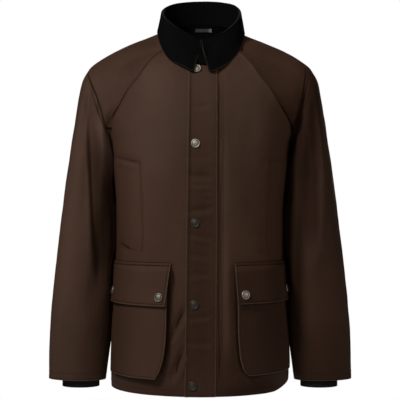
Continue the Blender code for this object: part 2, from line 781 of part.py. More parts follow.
def pressed_sleeve(sheet, ground, directions, obstacles):
    """A sleeve lies against the body and its pockets, so its inner side takes their form, just clear of them."""
    points = sheet.points.copy()
    for row in range(1, len(points)):
        clear = YOKE_CLEAR * row / YOKE_STEPS if row <= YOKE_STEPS else SLEEVE_CLEAR
        for column in range(points.shape[1]):
            points[row, column] = rested(points[row, column], ground, directions, obstacles, clear)
    normals = grid_normals(points, True, from_ring_middles)
    normals[0] = sheet.normals[0]
    return Sheet(points, normals, True)


def cap_face(middle, normal):
    """The outer face of a snap cap as a small flat sheet."""
    side = unit(np.cross(np.array((0.0, 0.0, 1.0)), normal)) * SNAP_RADIUS
    rise = np.cross(normal, side)
    points = np.array([[middle + side * s + rise * r for s in (-1.0, 0.0, 1.0)] for r in (-1.0, 0.0, 1.0)])
    return Sheet(points, np.broadcast_to(normal, points.shape).copy(), False)


def body_sheets():
    """The fronts, the back and the sleeves as sheets that share their directions at the seams."""
    front = half_body(FRONT_COLUMNS, False)
    half_back = half_body(BACK_COLUMNS, True)
    back = fold_back(np.concatenate([mirrored(half_back)[:, :0:-1], half_back], axis=1))
    grids = (
        (mirrored(front), False, from_axis),
        (front, False, from_axis),
        (back, False, from_axis),
        (mirrored(sleeve_points(-1)), True, from_ring_middles),
        (sleeve_points(1), True, from_ring_middles),
    )
    sheets = [Sheet(points, grid_normals(points, wrapped, outward), wrapped) for points, wrapped, outward in grids]
    return share_normals(sheets)


def make_body(sheets):
    front_right, front_left, back = sheets[:3]
    for name, sheet in (("front_right", front_right), ("front_left", front_left)):
        wall(name, trimmed(sheet, ("first_column", "last_column"), SEAM_GAP), CLOTH, WAXED_COTTON)
    wall("back", trimmed(back, ("first_column", "last_column"), SEAM_GAP), CLOTH, WAXED_COTTON)


def make_sleeve(name, sheet, sheets, pocket):
    ground, directions = body_ground(sheets[:3])
    obstacles = np.concatenate([ground] + [fine_sheet(piece, GROUND_STEPS)[0] for piece in pocket])
    pressed = pressed_sleeve(sheet, ground, directions, obstacles)
    wall(name, trimmed(pressed, ("first_row",), SEAM_GAP), CLOTH, WAXED_COTTON)


def make_collar(sheets):
    """Stand, roll and fall in one folded piece. The face that shows is the inside of the neck and the fall."""
    turns = np.linspace(COLLAR_FRONT_TURN, 360.0 - COLLAR_FRONT_TURN, COLLAR_COLUMNS + 1)
    body_rows = slice(-COLLAR_BODY_ROWS, None)
    yoke_rows = slice(0, COLLAR_YOKE_ROWS)
    upper = [Sheet(sheet.points[body_rows], sheet.normals[body_rows], False) for sheet in sheets[:3]]
    upper += [Sheet(sheet.points[yoke_rows], sheet.normals[yoke_rows], False) for sheet in sheets[3:]]
    fine = [fine_sheet(sheet, GROUND_STEPS) for sheet in upper]
    ground = np.concatenate([points for points, _ in fine])
    directions = np.concatenate([normals for _, normals in fine])
    columns = []
    for turn in turns:
        side = 1.0 if turn <= 180.0 else -1.0
        half_turn = min(turn, 360.0 - turn)
        sine = math.sin(math.radians(turn))
        cosine = math.cos(math.radians(turn))
        out = unit(np.array((sine / ROLL_HALF_WIDTH, -cosine / ROLL_HALF_DEPTH, 0.0)))
        up = np.array((0.0, 0.0, 1.0))
        rise = math.sin(math.radians(half_turn / 2.0)) ** ROLL_POWER
        roll_z = ROLL_FRONT_Z + (ROLL_BACK_Z - ROLL_FRONT_Z) * rise - ROLL_RADIUS
        roll = np.array((
            COLLAR_MIDDLE_X + ROLL_HALF_WIDTH * sine,
            ROLL_MIDDLE_Y - ROLL_HALF_DEPTH * cosine,
            roll_z,
        ))
        seam = neck_point(half_turn) * np.array((side, 1.0, 1.0))
        low = seam - out * STAND_INSET + up * NECK_SEAM_GAP
        inside = roll - out * ROLL_RADIUS
        path = [low, 0.5 * (low + inside), inside]
        for bend in ROLL_BENDS:
            lean = -out * math.cos(math.radians(bend)) + up * math.sin(math.radians(bend))
            path.append(roll + lean * ROLL_RADIUS)
        edge = np.array((
            COLLAR_MIDDLE_X + side * read_table(FALL_EDGE, "turn", "x", half_turn),
            read_table(FALL_EDGE, "turn", "y", half_turn),
            read_table(FALL_EDGE, "turn", "z", half_turn),
        ))
        rest_share = soft_step((half_turn - FALL_OVER_SNAP_TURN) / (FALL_RESTS_TURN - FALL_OVER_SNAP_TURN))
        clear = COLLAR_CLOTH + FALL_OVER_SNAP + (FALL_REST - FALL_OVER_SNAP) * rest_share
        fall = [path[-1] + (edge - path[-1]) * share for share in FALL_SHARES]
        path += [rested(point, ground, directions, ground, clear) for point in fall]
        columns.append(path)
    points = np.array(columns).transpose(1, 0, 2)

    def shown_side(grid):
        guide = np.zeros_like(grid)
        guide[4] = (0.0, 0.0, 1.0)
        return guide

    sheet = Sheet(points, grid_normals(points, False, shown_side), False)
    wall("collar", sheet, COLLAR_CLOTH, CORD_CLOTH)


def make_storm_cuffs():
    """Knitted tubes: sewn in where they meet the sleeve's inside, narrow at the wrist, ribbed outside."""
    columns = 2 * CUFF_RIBS
    heights = (CUFF_TOP, CUFF_NECK, 0.5 * (CUFF_NECK + CUFF_BOTTOM), CUFF_BOTTOM)
    depths = [-0.5 * (section.inner_z + section.outer_z) for section in SLEEVE_SECTIONS]
    place = np.interp(-CUFF_TOP, depths, np.arange(len(depths)))
    inner_x, _, outer_x, _, front, back, middle_y = smooth_read(range(len(depths)), SLEEVE_SECTIONS, place)
    clear = CLOTH + CUFF_TOP_GAP + CUFF_RIB_HEIGHT
    for name, side in (("storm_cuff_right", -1.0), ("storm_cuff_left", 1.0)):
        rows = []
        for level, height in enumerate(heights):
            ring = []
            for column in range(columns):
                turn = 2.0 * math.pi * column / columns
                cosine = math.cos(turn)
                sine = math.sin(turn)
                wide_x = 0.5 * (inner_x + outer_x) - (0.5 * (outer_x - inner_x) - clear) * cosine
                wide_y = middle_y - ((front if sine >= 0.0 else back) - clear) * sine
                slim_x = CUFF_MIDDLE_X - CUFF_HALF_WIDTH * cosine
                slim_y = CUFF_MIDDLE_Y - CUFF_HALF_DEPTH * sine
                share = 0.0 if level == 0 else 1.0
                rib = CUFF_RIB_HEIGHT if column % 2 == 0 else 0.0
                out = unit(np.array((-cosine, -sine, 0.0)))
                x = wide_x + (slim_x - wide_x) * share + out[0] * rib
                y = wide_y + (slim_y - wide_y) * share + out[1] * rib
                ring.append((side * x, y, height))
            rows.append(ring)
        outer = np.array(rows)
        plain = outer.copy()
        plain[:, ::2] = 0.5 * (np.roll(outer, 1, axis=1)[:, ::2] + np.roll(outer, -1, axis=1)[:, ::2])
        normals = grid_normals(plain, True, from_ring_middles)
        inner = plain - normals * KNIT
        wall(name, Sheet(outer, outer - inner, True), 1.0, KNITTED_RIB)


def make_storm_flap(front_left):
    """A strip over the closing edges, from the hem to the neck, made from the front's own rows."""
    heights = [height for height in front_left.points[:, 0, 2] if height < STORM_TOP - STORM_ROW_APART] + [STORM_TOP]
    rows = []
    guides = []
    for height in heights:
        free = read_table(STORM_EDGES, "height", "free", height)
        seamed = read_table(STORM_EDGES, "height", "seamed", height)
        row = []
        guide = []
        for x in (free, 0.5 * free, 0.0, 0.5 * seamed, seamed):
            place = place_at(front_left, abs(x), height)
            point, normal = read_sheet(front_left, *place)
            flip = np.array((math.copysign(1.0, x), 1.0, 1.0))
            row.append((point + normal * (STORM_BED + STORM_CLOTH)) * flip)
            guide.append(normal * flip)
        rows.append(row)
        guides.append(guide)
    points = np.array(rows)
    wall("storm_flap", Sheet(points, np.array(guides), False), STORM_CLOTH, WAXED_COTTON)
    lift = STORM_BED + STORM_CLOTH + LAY_GAP
    for number, spot in enumerate(STORM_SNAPS, 1):
        point, normal = read_sheet(front_left, *place_at(front_left, abs(spot.x), spot.z))
        flip = np.array((math.copysign(1.0, spot.x), 1.0, 1.0))
        turned_cap(f"storm_snap_{number}", point * flip, normal * flip, lift, SNAP_SILVER)


def bag_stand(column_share, height):
    """How far the bellows bag stands off the front: most at its inner edge, least at its outer end."""
    drop = soft_step((POCKETS[0].bag[0].height - height) / POCKET_STAND_DEPTH)
    inner = POCKET_STAND_INNER_TOP + (POCKET_STAND_INNER_LOW - POCKET_STAND_INNER_TOP) * drop
    return inner + (POCKET_STAND_END - inner) * column_share ** POCKET_STAND_POWER


def pocket_places(front, rows, spread):
    """Row and column places of a pocket piece: its inner edge, the front's own columns, its outer end."""
    heights = [row.height for row in rows]
    lowest = min(heights) + POCKET_ROW_APART
    highest = max(heights) - POCKET_ROW_APART
    heights = sorted(set(heights + [height for height in BODY_ROWS if lowest < height < highest]))
    inner = [read_table(rows, "height", "inner_x", height) for height in heights]
    starts = [place_at(front, out, height)[1] for out, height in zip(inner, heights)]
    end = POCKET_END_COLUMN + spread
    first_whole = math.ceil(max(starts) + LEAST_COLUMN_STEP)
    last_whole = math.floor(end - LEAST_COLUMN_STEP)
    columns = [[start, *range(first_whole, last_whole + 1), end] for start in starts]
    return np.array(columns, float), heights


def places_of(front, columns, heights):
    """Row and column places from the column places at each height."""
    return np.array([
        [(row_at(front, column, height), column) for column in row] for row, height in zip(columns, heights)
    ])


def edge_shares(columns):
    """0 at the inner edge of a pocket piece, 1 at its outer end."""
    return (columns - columns[:, :1]) / (columns[:, -1:] - columns[:, :1])


def make_pocket(plan, front):
    """A bellows bag with standing sides, open at the top, and the flap that hangs over it."""
    columns, heights = pocket_places(front, plan.bag, 0.0)
    shares = edge_shares(columns)
    stands = np.array([
        [bag_stand(share, height) for share in row] for row, height in zip(shares, heights)
    ])
    middle = FRONT_COLUMNS // 2
    step = POCKET_FOOT_SPREAD / np.abs(front.points[1, middle, 0] - front.points[1, middle - 1, 0])
    wide = np.concatenate([columns[:, :1] - step, columns, columns[:, -1:] + step], axis=1)
    wide = np.concatenate([wide[:1], wide], axis=0)
    levels = [heights[0] - POCKET_FOOT_SPREAD] + heights
    lifts = np.full(wide.shape, POCKET_FOOT_GAP)
    lifts[1:, 1:-1] = stands
    bag, ground = laid_points(front, places_of(front, wide, levels), lifts)
    normals = grid_normals(bag, False, from_axis)
    for edge in (np.s_[0, :], np.s_[:, 0], np.s_[:, -1]):
        along = np.sum(normals[edge] * ground[edge], axis=-1, keepdims=True)
        normals[edge] = unit(normals[edge] - ground[edge] * along)
    bag_sheet = Sheet(bag, normals, False)
    wall("pocket_" + plan.name, bag_sheet, CLOTH, WAXED_COTTON)
    return [bag_sheet] + make_pocket_flap(plan, front)


def flap_lift(share, height, top):
    """The flap starts flat on the front, climbs over the mouth of the bag and hangs clear of its face."""
    rise = soft_step((top - height) / (top - FLAP_OVER_ROW))
    return FLAP_BED + FLAP_CLOTH + bag_stand(share, height) * rise


def make_pocket_flap(plan, front):
    top = max(row.height for row in plan.flap)
    columns, heights = pocket_places(front, plan.flap, FLAP_OVERHANG_COLUMNS)
    levels = sorted(set(heights + [FLAP_RISE_ROW, FLAP_OVER_ROW]))
    starts = [
        place_at(front, read_table(plan.flap, "height", "inner_x", level), level)[1] for level in levels
    ]
    columns = np.array([[start, *columns[0, 1:]] for start in starts])
    lifts = np.array([
        [flap_lift(share, level, top) for share in row] for row, level in zip(edge_shares(columns), levels)
    ])
    places = places_of(front, columns, levels)
    points, guides = laid_points(front, places, lifts)
    wall("pocket_flap_" + plan.name, Sheet(points, guides, False), FLAP_CLOTH, WAXED_COTTON)
    flap = Sheet(points, grid_normals(points, False, from_axis), False)
    inner_place = place_at(front, plan.snap_x, plan.snap_z)
    outer_place = (row_at(front, plan.outer_snap_column, plan.snap_z), plan.outer_snap_column)
    made = [Sheet(points, guides, False)]
    for label, place in (("inner", inner_place), ("outer", outer_place)):
        point, normal = read_sheet(flap, *flap_place(places, place))
        turned_cap(f"pocket_snap_{plan.name}_{label}", point, normal, LAY_GAP, SNAP_SILVER)
        made.append(cap_face(point + normal * (LAY_GAP + SNAP_HEIGHT), normal))
    return made


def flap_place(places, place):
    """Where a place on the front lies among the rows and columns of the flap."""
    rows = np.interp(place[0], places[:, 0, 0], np.arange(len(places)))
    low = int(min(math.floor(rows), len(places) - 2))
    t = rows - low
    columns = places[low, :, 1] * (1.0 - t) + places[low + 1, :, 1] * t
    return float(rows), float(np.interp(place[1], columns, np.arange(len(columns))))


def make_handwarmer(name, inner_x, front):
    """A flat patch whose outer edge is the side-entry mouth of the upper pocket."""
    inner_column = place_at(front, inner_x, 0.5 * (HANDWARMER_TOP + HANDWARMER_BOTTOM))[1]
    first_whole = math.ceil(inner_column + LEAST_COLUMN_STEP)
    whole = range(first_whole, math.floor(HANDWARMER_END_COLUMN - LEAST_COLUMN_STEP) + 1)
    grid = []
    for level in HANDWARMER_LEVELS:
        row = []
        for column in (inner_column, *whole, HANDWARMER_END_COLUMN):
            out = (column - inner_column) / (HANDWARMER_END_COLUMN - inner_column)
            low = HANDWARMER_BOTTOM + HANDWARMER_BOTTOM_SLANT * out
            high = HANDWARMER_TOP + HANDWARMER_TOP_SLANT * out
            row.append((row_at(front, column, low + (high - low) * level), column))
        grid.append(row)
    places = np.array(grid)
    lifts = np.full(places.shape[:2], LAY_GAP + PATCH_CLOTH)
    points, guides = laid_points(front, places, lifts)
    wall(name, Sheet(points, guides, False), PATCH_CLOTH, WAXED_COTTON)


def make_neck_inside(back):
    """The facing inside the back of the neck, and the blank label on it."""
    middle = back.points.shape[1] // 2
    last = back.points.shape[0] - 1
    columns = slice(middle - FACING_COLUMNS, middle + FACING_COLUMNS + 1)
    rows = slice(last - FACING_ROWS, last + 1)
    depth = CLOTH + FACING_GAP
    points = back.points[rows, columns] - back.normals[rows, columns] * depth
    facing = Sheet(points, back.normals[rows, columns], False)
    wall("neck_facing", trimmed(facing, ("last_row",), FACING_TOP_GAP), FACING_CLOTH, FACING_BLACK)
    half = Sheet(back.points[:, middle:], back.normals[:, middle:], False)
    rows = []
    guides = []
    for height in (LABEL_LOW, LABEL_HIGH):
        row = []
        guide = []
        for x in np.linspace(LABEL_LEFT, LABEL_RIGHT, LABEL_COLUMNS):
            point, normal = read_sheet(half, *place_at(half, abs(x), height))
            flip = np.array((math.copysign(1.0, x), 1.0, 1.0))
            row.append((point - normal * (depth + FACING_CLOTH + LAY_GAP)) * flip)
            guide.append(normal * flip)
        rows.append(row)
        guides.append(guide)
    wall("neck_label", Sheet(np.array(rows), np.array(guides), False), LABEL_CLOTH, LABEL_GREY)


def main():
    clear_scene()
    sheets = body_sheets()
    fronts = {-1: sheets[0], 1: sheets[1]}
    make_body(sheets)
    make_collar(sheets)
    make_storm_cuffs()
    make_storm_flap(sheets[1])
    sleeves = {-1: sheets[3], 1: sheets[4]}
    for plan in POCKETS:
        pocket = make_pocket(plan, fronts[plan.side])
        make_sleeve("sleeve_" + plan.name, sleeves[plan.side], sheets, pocket)
    make_handwarmer("handwarmer_right", HANDWARMER_INNER_X[0], fronts[-1])
    make_handwarmer("handwarmer_left", HANDWARMER_INNER_X[1], fronts[1])
    make_neck_inside(sheets[2])


main()
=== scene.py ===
# %% [markdown]
# A waxed cotton jacket, built as a lesson
#
# The jacket hangs as if somebody invisible wore it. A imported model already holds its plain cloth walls, so
# this script loads that model as a fixed frame, and then makes finer cloth on the same form: creases,
# seams, stitches, cord, knit and metal. Metres, +Z up, the front faces -Y, the wearer's left is +X.

# %% Load the frame
import math
from collections import namedtuple

import bpy
import numpy as np
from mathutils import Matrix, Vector, noise


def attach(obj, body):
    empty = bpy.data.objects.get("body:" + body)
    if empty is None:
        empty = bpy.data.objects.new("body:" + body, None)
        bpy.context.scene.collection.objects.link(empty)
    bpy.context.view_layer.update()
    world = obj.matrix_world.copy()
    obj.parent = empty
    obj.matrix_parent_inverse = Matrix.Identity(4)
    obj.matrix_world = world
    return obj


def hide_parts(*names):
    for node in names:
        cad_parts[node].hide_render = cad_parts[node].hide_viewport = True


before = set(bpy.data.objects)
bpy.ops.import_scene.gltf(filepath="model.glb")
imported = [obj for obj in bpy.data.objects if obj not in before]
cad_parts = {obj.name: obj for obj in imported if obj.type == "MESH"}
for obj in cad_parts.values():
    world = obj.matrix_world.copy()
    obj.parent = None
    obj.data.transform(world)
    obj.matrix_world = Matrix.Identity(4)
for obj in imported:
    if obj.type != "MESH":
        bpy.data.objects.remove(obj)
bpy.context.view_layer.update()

print("solids in the frame:", len(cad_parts))

# %% [markdown]
# The camera and the room
#
# The picture was taken from far away at the height of the waist, so the jacket hardly narrows towards its
# edges. A long lens 2.4 m in front gives the same look. The background is white paper: the world shows
# white to the camera, and lights the cloth less strongly than that.

# %% Camera
CAMERA_DISTANCE = 2.4
CAMERA_HEIGHT = -0.3276
METRES_ACROSS = 0.840
SENSOR_WIDTH = 36.0

camera_data = bpy.data.cameras.new("camera")
camera_data.sensor_width = SENSOR_WIDTH
camera_data.lens = SENSOR_WIDTH * CAMERA_DISTANCE / METRES_ACROSS
camera = bpy.data.objects.new("camera", camera_data)
camera.location = (0.0002, -CAMERA_DISTANCE, CAMERA_HEIGHT)
camera.rotation_euler = (math.radians(90.0), 0.0, 0.0)
bpy.context.scene.collection.objects.link(camera)
bpy.context.scene.camera = camera
bpy.context.scene.view_settings.view_transform = "Standard"
print("lens:", round(camera_data.lens, 1), "mm")

# %% Floor and world
FLOOR_HEIGHT = -1.30
FLOOR_RADIUS = 3.0
FLOOR_GREY = (0.80, 0.80, 0.80, 1.0)
WHITE = (1.0, 1.0, 1.0, 1.0)
WORLD_LIGHT = 0.05


def plug(node, inputs):
    """Set a node's inputs by name or number. A value that comes from another node is linked."""
    for name, value in inputs.items():
        value = getattr(value, "socket", value)
        if isinstance(value, bpy.types.NodeSocket):
            node.id_data.links.new(value, node.inputs[name])
        else:
            node.inputs[name].default_value = value
    return node


def add_node(tree, kind, inputs=None, **settings):
    node = tree.nodes.new(kind)
    for name, value in settings.items():
        setattr(node, name, value)
    return plug(node, inputs or {})


def add_object(name, data):
    made = bpy.data.objects.new(name, data)
    bpy.context.scene.collection.objects.link(made)
    return made


def set_world():
    """White paper to the camera, and a weaker soft light to everything else."""
    world = bpy.data.worlds.new("studio")
    world.use_nodes = True
    tree = world.node_tree
    seen = tree.nodes.new("ShaderNodeLightPath").outputs["Is Camera Ray"]
    scale = add_node(tree, "ShaderNodeMapRange", {"Value": seen, "To Min": WORLD_LIGHT, "To Max": 1.0})
    plug(tree.nodes["Background"], {"Color": WHITE, "Strength": scale.outputs["Result"]})
    bpy.context.scene.world = world


def lay_floor():
    bpy.ops.mesh.primitive_circle_add(vertices=96, radius=FLOOR_RADIUS, fill_type="NGON",
                                      location=(0.0, 0.0, FLOOR_HEIGHT))
    floor = bpy.context.object
    floor.name = "floor"
    material = bpy.data.materials.new("floor_paper")
    material.use_nodes = True
    shader = material.node_tree.nodes["Principled BSDF"]
    looks = {"Base Color": FLOOR_GREY, "Roughness": 0.9, "Emission Color": WHITE, "Emission Strength": 0.12}
    plug(shader, looks)
    floor.data.materials.append(material)
    return floor


set_world()
print("floor:", lay_floor().name)

# %% [markdown]
# The lights
#
# One large soft light hangs high on the left of the picture, near the camera, so the right half of the
# jacket falls into a soft shade. A weak light from the right keeps that side readable.

# %% Lights
def table_of(kind, *rows):
    """A table: each row of values gets the names of the kind's columns."""
    return tuple(kind(*row) for row in rows)


NEUTRAL = (1.0, 1.0, 1.0)
WARM = (1.0, 0.88, 0.76)
StudioLight = namedtuple("StudioLight", "name place aim size power tint")
LIGHTS = table_of(
    StudioLight,
    ("key", (-1.12, -1.28, 1.05), (0.0, -0.05, -0.25), 0.6, 35.0, NEUTRAL),
    ("fill", (0.3, -2.6, 1.2), (0.0, 0.0, -0.20), 1.2, 6.0, WARM),
    ("side", (2.2, -0.9, 0.35), (0.15, 0.0, -0.15), 0.9, 8.0, WARM),
    ("back", (0.6, 2.6, 0.2), (0.0, 0.0, -0.3), 1.6, 5.0, WARM),
)

for plan in LIGHTS:
    data = bpy.data.lights.new(plan.name, "AREA")
    data.shape = "DISK"
    data.size = plan.size
    data.energy = plan.power
    data.color = plan.tint
    light = add_object(plan.name, data)
    light.location = plan.place
    light.rotation_euler = (Vector(plan.aim) - Vector(plan.place)).to_track_quat("-Z", "Y").to_euler()
print("lights:", len(LIGHTS))

# %% [markdown]
# The cut of the jacket
#
# The form comes from short tables of sizes, the same ones that the solids were made from. Each row of the
# body table is one level, with half its width, its depth in front and behind, and how square its outline is.

# %% Cloth and body sizes
# Cloth and seams
CLOTH = 0.0018
COLLAR_CLOTH = 0.0026
KNIT = 0.0016
PATCH_CLOTH = 0.0012
LAY_GAP = 0.00045
NECK_SEAM_GAP = 0.0006
CURVE_READS = 240
GROUND_STEPS = 4
PLACE_TRIES = 4
# Body, section by section from the hem to the armpit
BodySection = namedtuple("BodySection", "height half_width front back squareness")
BODY_SECTIONS = table_of(
    BodySection,
    (-0.7125, 0.1855, 0.17, 0.15, 2.1), (-0.66, 0.186, 0.169, 0.149, 2.16),
    (-0.6, 0.183, 0.167, 0.146, 2.24), (-0.53, 0.179, 0.165, 0.141, 2.3), (-0.45, 0.176, 0.161, 0.134, 2.3),
    (-0.39, 0.175, 0.158, 0.129, 2.3), (-0.33, 0.176, 0.155, 0.126, 2.3), (-0.28, 0.181, 0.153, 0.126, 2.3),
    (-0.25, 0.184, 0.1525, 0.128, 2.3), (-0.214, 0.188, 0.152, 0.131, 2.3),
)
UPPER_SQUARENESS = 2.30
NECK_SQUARENESS = 2.00
BODY_ROWS = (-0.7125, -0.682, -0.650, -0.612, -0.574, -0.536, -0.493, -0.450, -0.410, -0.370, -0.330,
             -0.290, -0.250, -0.214)
FRONT_COLUMNS = 10
BACK_COLUMNS = 9
# Middle of the front and of the back above the armpit: depth from the middle of the body at a height
MidLine = namedtuple("MidLine", "height depth")
FRONT_MID = table_of(
    MidLine,
    (-0.214, 0.152), (-0.15, 0.147), (-0.1, 0.136), (-0.07, 0.123), (-0.039, 0.105),
)
BACK_MID = table_of(
    MidLine,
    (-0.214, 0.131), (-0.15, 0.131), (-0.1, 0.124), (-0.05, 0.111), (0.0, 0.09), (0.052, 0.065),
)
# Neck seam: an ellipse in plan, low in front and high behind
NECK_HALF_WIDTH = 0.084
NECK_HALF_DEPTH = 0.085
NECK_MIDDLE_Y = -0.020
NECK_SIDE_Z = 0.0105
NECK_RISE = 0.0455
NECK_FRONT_DIP = 0.0040
FRONT_SEAM_TURN = 54.0
BACK_SEAM_TURN = 139.0

print("body levels:", len(BODY_SECTIONS))

# %% [markdown]
# A raglan sleeve is sewn in along two slanting seams that run from the armpit to the neck, so the sleeve's
# cloth is also the shoulder's. The tables hold those seams and the arm, ring by ring.

# %% Seams and sleeve sizes
# Raglan seams, from the armpit up to the neck
SeamPoint = namedtuple("SeamPoint", "x y z")
FRONT_SEAM = table_of(
    SeamPoint,
    (0.188, 0.0, -0.214), (0.1905, -0.035, -0.196), (0.185, -0.066, -0.172), (0.169, -0.092, -0.146),
    (0.157, -0.104, -0.127), (0.145, -0.111, -0.106), (0.13, -0.114, -0.089), (0.112, -0.109, -0.061),
    (0.091, -0.093, -0.035),
)
BACK_SEAM = table_of(
    SeamPoint,
    (0.188, 0.0, -0.214), (0.189, 0.038, -0.192), (0.178, 0.07, -0.156), (0.158, 0.09, -0.115),
    (0.13, 0.1, -0.068), (0.1, 0.092, -0.02), (0.073, 0.068, 0.022),
)
SEAM_STEPS = 9
NECK_STEPS = 8
# Sleeve, section by section. Inner is the side at the body, outer is the side away from it.
SleeveSection = namedtuple("SleeveSection", "inner_x inner_z outer_x outer_z front back middle_y")
SLEEVE_SECTIONS = table_of(
    SleeveSection,
    (0.1942, -0.219, 0.224, -0.047, 0.07, 0.076, 0.0), (0.188, -0.241, 0.244, -0.076, 0.081, 0.083, 0.0),
    (0.18, -0.275, 0.2555, -0.13, 0.086, 0.086, -0.001),
    (0.177, -0.315, 0.2665, -0.195, 0.084, 0.084, -0.003),
    (0.171, -0.365, 0.2765, -0.265, 0.08, 0.08, -0.006),
    (0.17, -0.425, 0.2865, -0.345, 0.075, 0.076, -0.009),
    (0.173, -0.49, 0.298, -0.44, 0.067, 0.068, -0.013), (0.179, -0.555, 0.3075, -0.53, 0.058, 0.06, -0.016),
    (0.186, -0.62, 0.313, -0.612, 0.048, 0.05, -0.019),
    (0.1955, -0.699, 0.3145, -0.697, 0.04, 0.042, -0.021),
)
SLEEVE_SQUARENESS = 2.15
YOKE_STEPS = 4
YOKE_BULGE = 0.0090
SHOULDER_CORE = np.array((0.150, 0.0, -0.130))
ARM_STEPS = 16
SLEEVE_CLEAR = 0.0024
REST_REACH = 0.0120
YOKE_CLEAR = 0.0040

print("sleeve rings in the table:", len(SLEEVE_SECTIONS))

# %% Folds that the solids already have
# Long folds. Turn goes round the sleeve in degrees: 0 inner side, 90 front, 180 outer side, 270 back.
FOLD_END_POWER = 0.8
SleeveFold = namedtuple("SleeveFold", "side turn lean top bottom depth half_turn")
SLEEVE_FOLDS = table_of(
    SleeveFold,
    (-1, 92, 6, -0.12, -0.4, 0.008, 24), (-1, 128, -14, -0.1, -0.26, 0.004, 20),
    (-1, 60, 10, -0.33, -0.56, 0.0045, 22), (-1, 262, 14, -0.14, -0.43, 0.0065, 24),
    (-1, 225, -18, -0.28, -0.52, 0.0045, 20), (1, 108, -8, -0.12, -0.39, 0.007, 24),
    (1, 74, 12, -0.22, -0.48, 0.005, 20), (1, 254, -12, -0.13, -0.4, 0.0065, 24),
    (1, 292, 16, -0.3, -0.56, 0.0045, 22),
)
# Long folds of the back: across is metres from the middle of the back
BackFold = namedtuple("BackFold", "across lean top bottom depth half_width")
BACK_FOLDS = table_of(
    BackFold,
    (-0.118, 0.02, -0.12, -0.42, 0.006, 0.04), (0.104, -0.026, -0.15, -0.46, 0.0055, 0.042),
    (-0.052, -0.02, -0.38, -0.64, 0.0045, 0.04), (0.06, 0.018, -0.42, -0.68, 0.0045, 0.04),
)

print("main folds:", len(SLEEVE_FOLDS) + len(BACK_FOLDS))

# %% Collar, storm flap, snaps, cuffs
# Collar. Its middle lies a little to the wearer's left, as the closing edge does.
COLLAR_MIDDLE_X = 0.0028
COLLAR_COLUMNS = 34
COLLAR_FRONT_TURN = 3.4
ROLL_HALF_WIDTH = 0.0800
ROLL_HALF_DEPTH = 0.0735
ROLL_MIDDLE_Y = -0.0040
ROLL_FRONT_Z = -0.0030
ROLL_BACK_Z = 0.1000
ROLL_POWER = 1.1
ROLL_RADIUS = 0.0048
STAND_INSET = 0.0023
FALL_REST = 0.0015
FALL_OVER_SNAP = 0.0075
FALL_OVER_SNAP_TURN = 22.0
FALL_RESTS_TURN = 42.0
COLLAR_BODY_ROWS = 8
COLLAR_YOKE_ROWS = 5
ROLL_BENDS = (45.0, 90.0, 135.0, 180.0)
FALL_SHARES = (0.34, 0.67, 1.0)
FallPoint = namedtuple("FallPoint", "turn x y z")
FALL_EDGE = table_of(
    FallPoint,
    (0, 0.015, -0.1315, -0.0717), (15, 0.026, -0.131, -0.0717), (25, 0.035, -0.1275, -0.0625),
    (36, 0.048, -0.1205, -0.0525), (47, 0.06, -0.109, -0.044), (58, 0.0715, -0.091, -0.0325),
    (70, 0.08, -0.067, -0.016), (82, 0.087, -0.039, 0.003), (96, 0.092, -0.006, 0.02),
    (115, 0.089, 0.035, 0.031), (140, 0.068, 0.069, 0.037), (160, 0.037, 0.084, 0.038),
    (180, 0.0, 0.088, 0.038),
)
# Storm flap over the centre front
StormEdge = namedtuple("StormEdge", "height free seamed")
STORM_EDGES = table_of(
    StormEdge,
    (-0.7125, -0.0295, 0.0302), (-0.39, -0.026, 0.033), (-0.21, -0.0235, 0.0335), (-0.046, -0.022, 0.034),
)
STORM_CLOTH = 0.0020
STORM_BED = 0.0010
# Snap caps
SNAP_RADIUS = 0.0089
SNAP_HEIGHT = 0.0034
SnapSpot = namedtuple("SnapSpot", "x z")
STORM_SNAPS = table_of(
    SnapSpot,
    (-0.0065, -0.066), (-0.0086, -0.216), (-0.0094, -0.3725), (-0.0113, -0.532), (-0.0146, -0.69),
)
# Knitted storm cuffs, inside the sleeve ends
CUFF_TOP = -0.650
CUFF_NECK = -0.668
CUFF_BOTTOM = -0.7130
CUFF_HALF_WIDTH = 0.0420
CUFF_HALF_DEPTH = 0.0290
CUFF_MIDDLE_X = 0.2517
CUFF_MIDDLE_Y = -0.0240
CUFF_RIBS = 28
CUFF_RIB_HEIGHT = 0.0011
CUFF_TOP_GAP = 0.0008

print("snaps on the storm flap:", len(STORM_SNAPS))

# %% Pockets
# Lower pockets. Side -1 is the wearer's right, which is at -X.
PocketRow = namedtuple("PocketRow", "height inner_x")
PocketPlan = namedtuple("PocketPlan", "side name bag flap snap_x snap_z outer_snap_column")
POCKETS = table_of(
    PocketPlan,
    (-1, "right", table_of(
        PocketRow,
        (-0.472, 0.061), (-0.536, 0.0635), (-0.612, 0.067), (-0.65, 0.074), (-0.668, 0.082), (-0.681, 0.097),
    ), table_of(PocketRow, (-0.45, 0.0567), (-0.535, 0.0696)), 0.076, -0.5175, 7.95),
    (1, "left", table_of(
        PocketRow,
        (-0.472, 0.0715), (-0.536, 0.0725), (-0.612, 0.076), (-0.65, 0.084), (-0.668, 0.092), (-0.681, 0.107),
    ), table_of(PocketRow, (-0.449, 0.0706), (-0.534, 0.0759)), 0.085, -0.513, 8.15),
)
POCKET_END_COLUMN = 8.75
POCKET_STAND_INNER_TOP = 0.0120
POCKET_STAND_INNER_LOW = 0.0150
POCKET_STAND_END = 0.0050
POCKET_STAND_DEPTH = 0.1600
POCKET_STAND_POWER = 0.9
POCKET_FOOT_GAP = 0.0008
FLAP_CLOTH = 0.0020
FLAP_BED = 0.0010
FLAP_RISE_ROW = -0.4600
FLAP_OVER_ROW = -0.4690
FLAP_OVERHANG_COLUMNS = 0.12
POCKET_ROW_APART = 0.0120
LEAST_COLUMN_STEP = 0.10
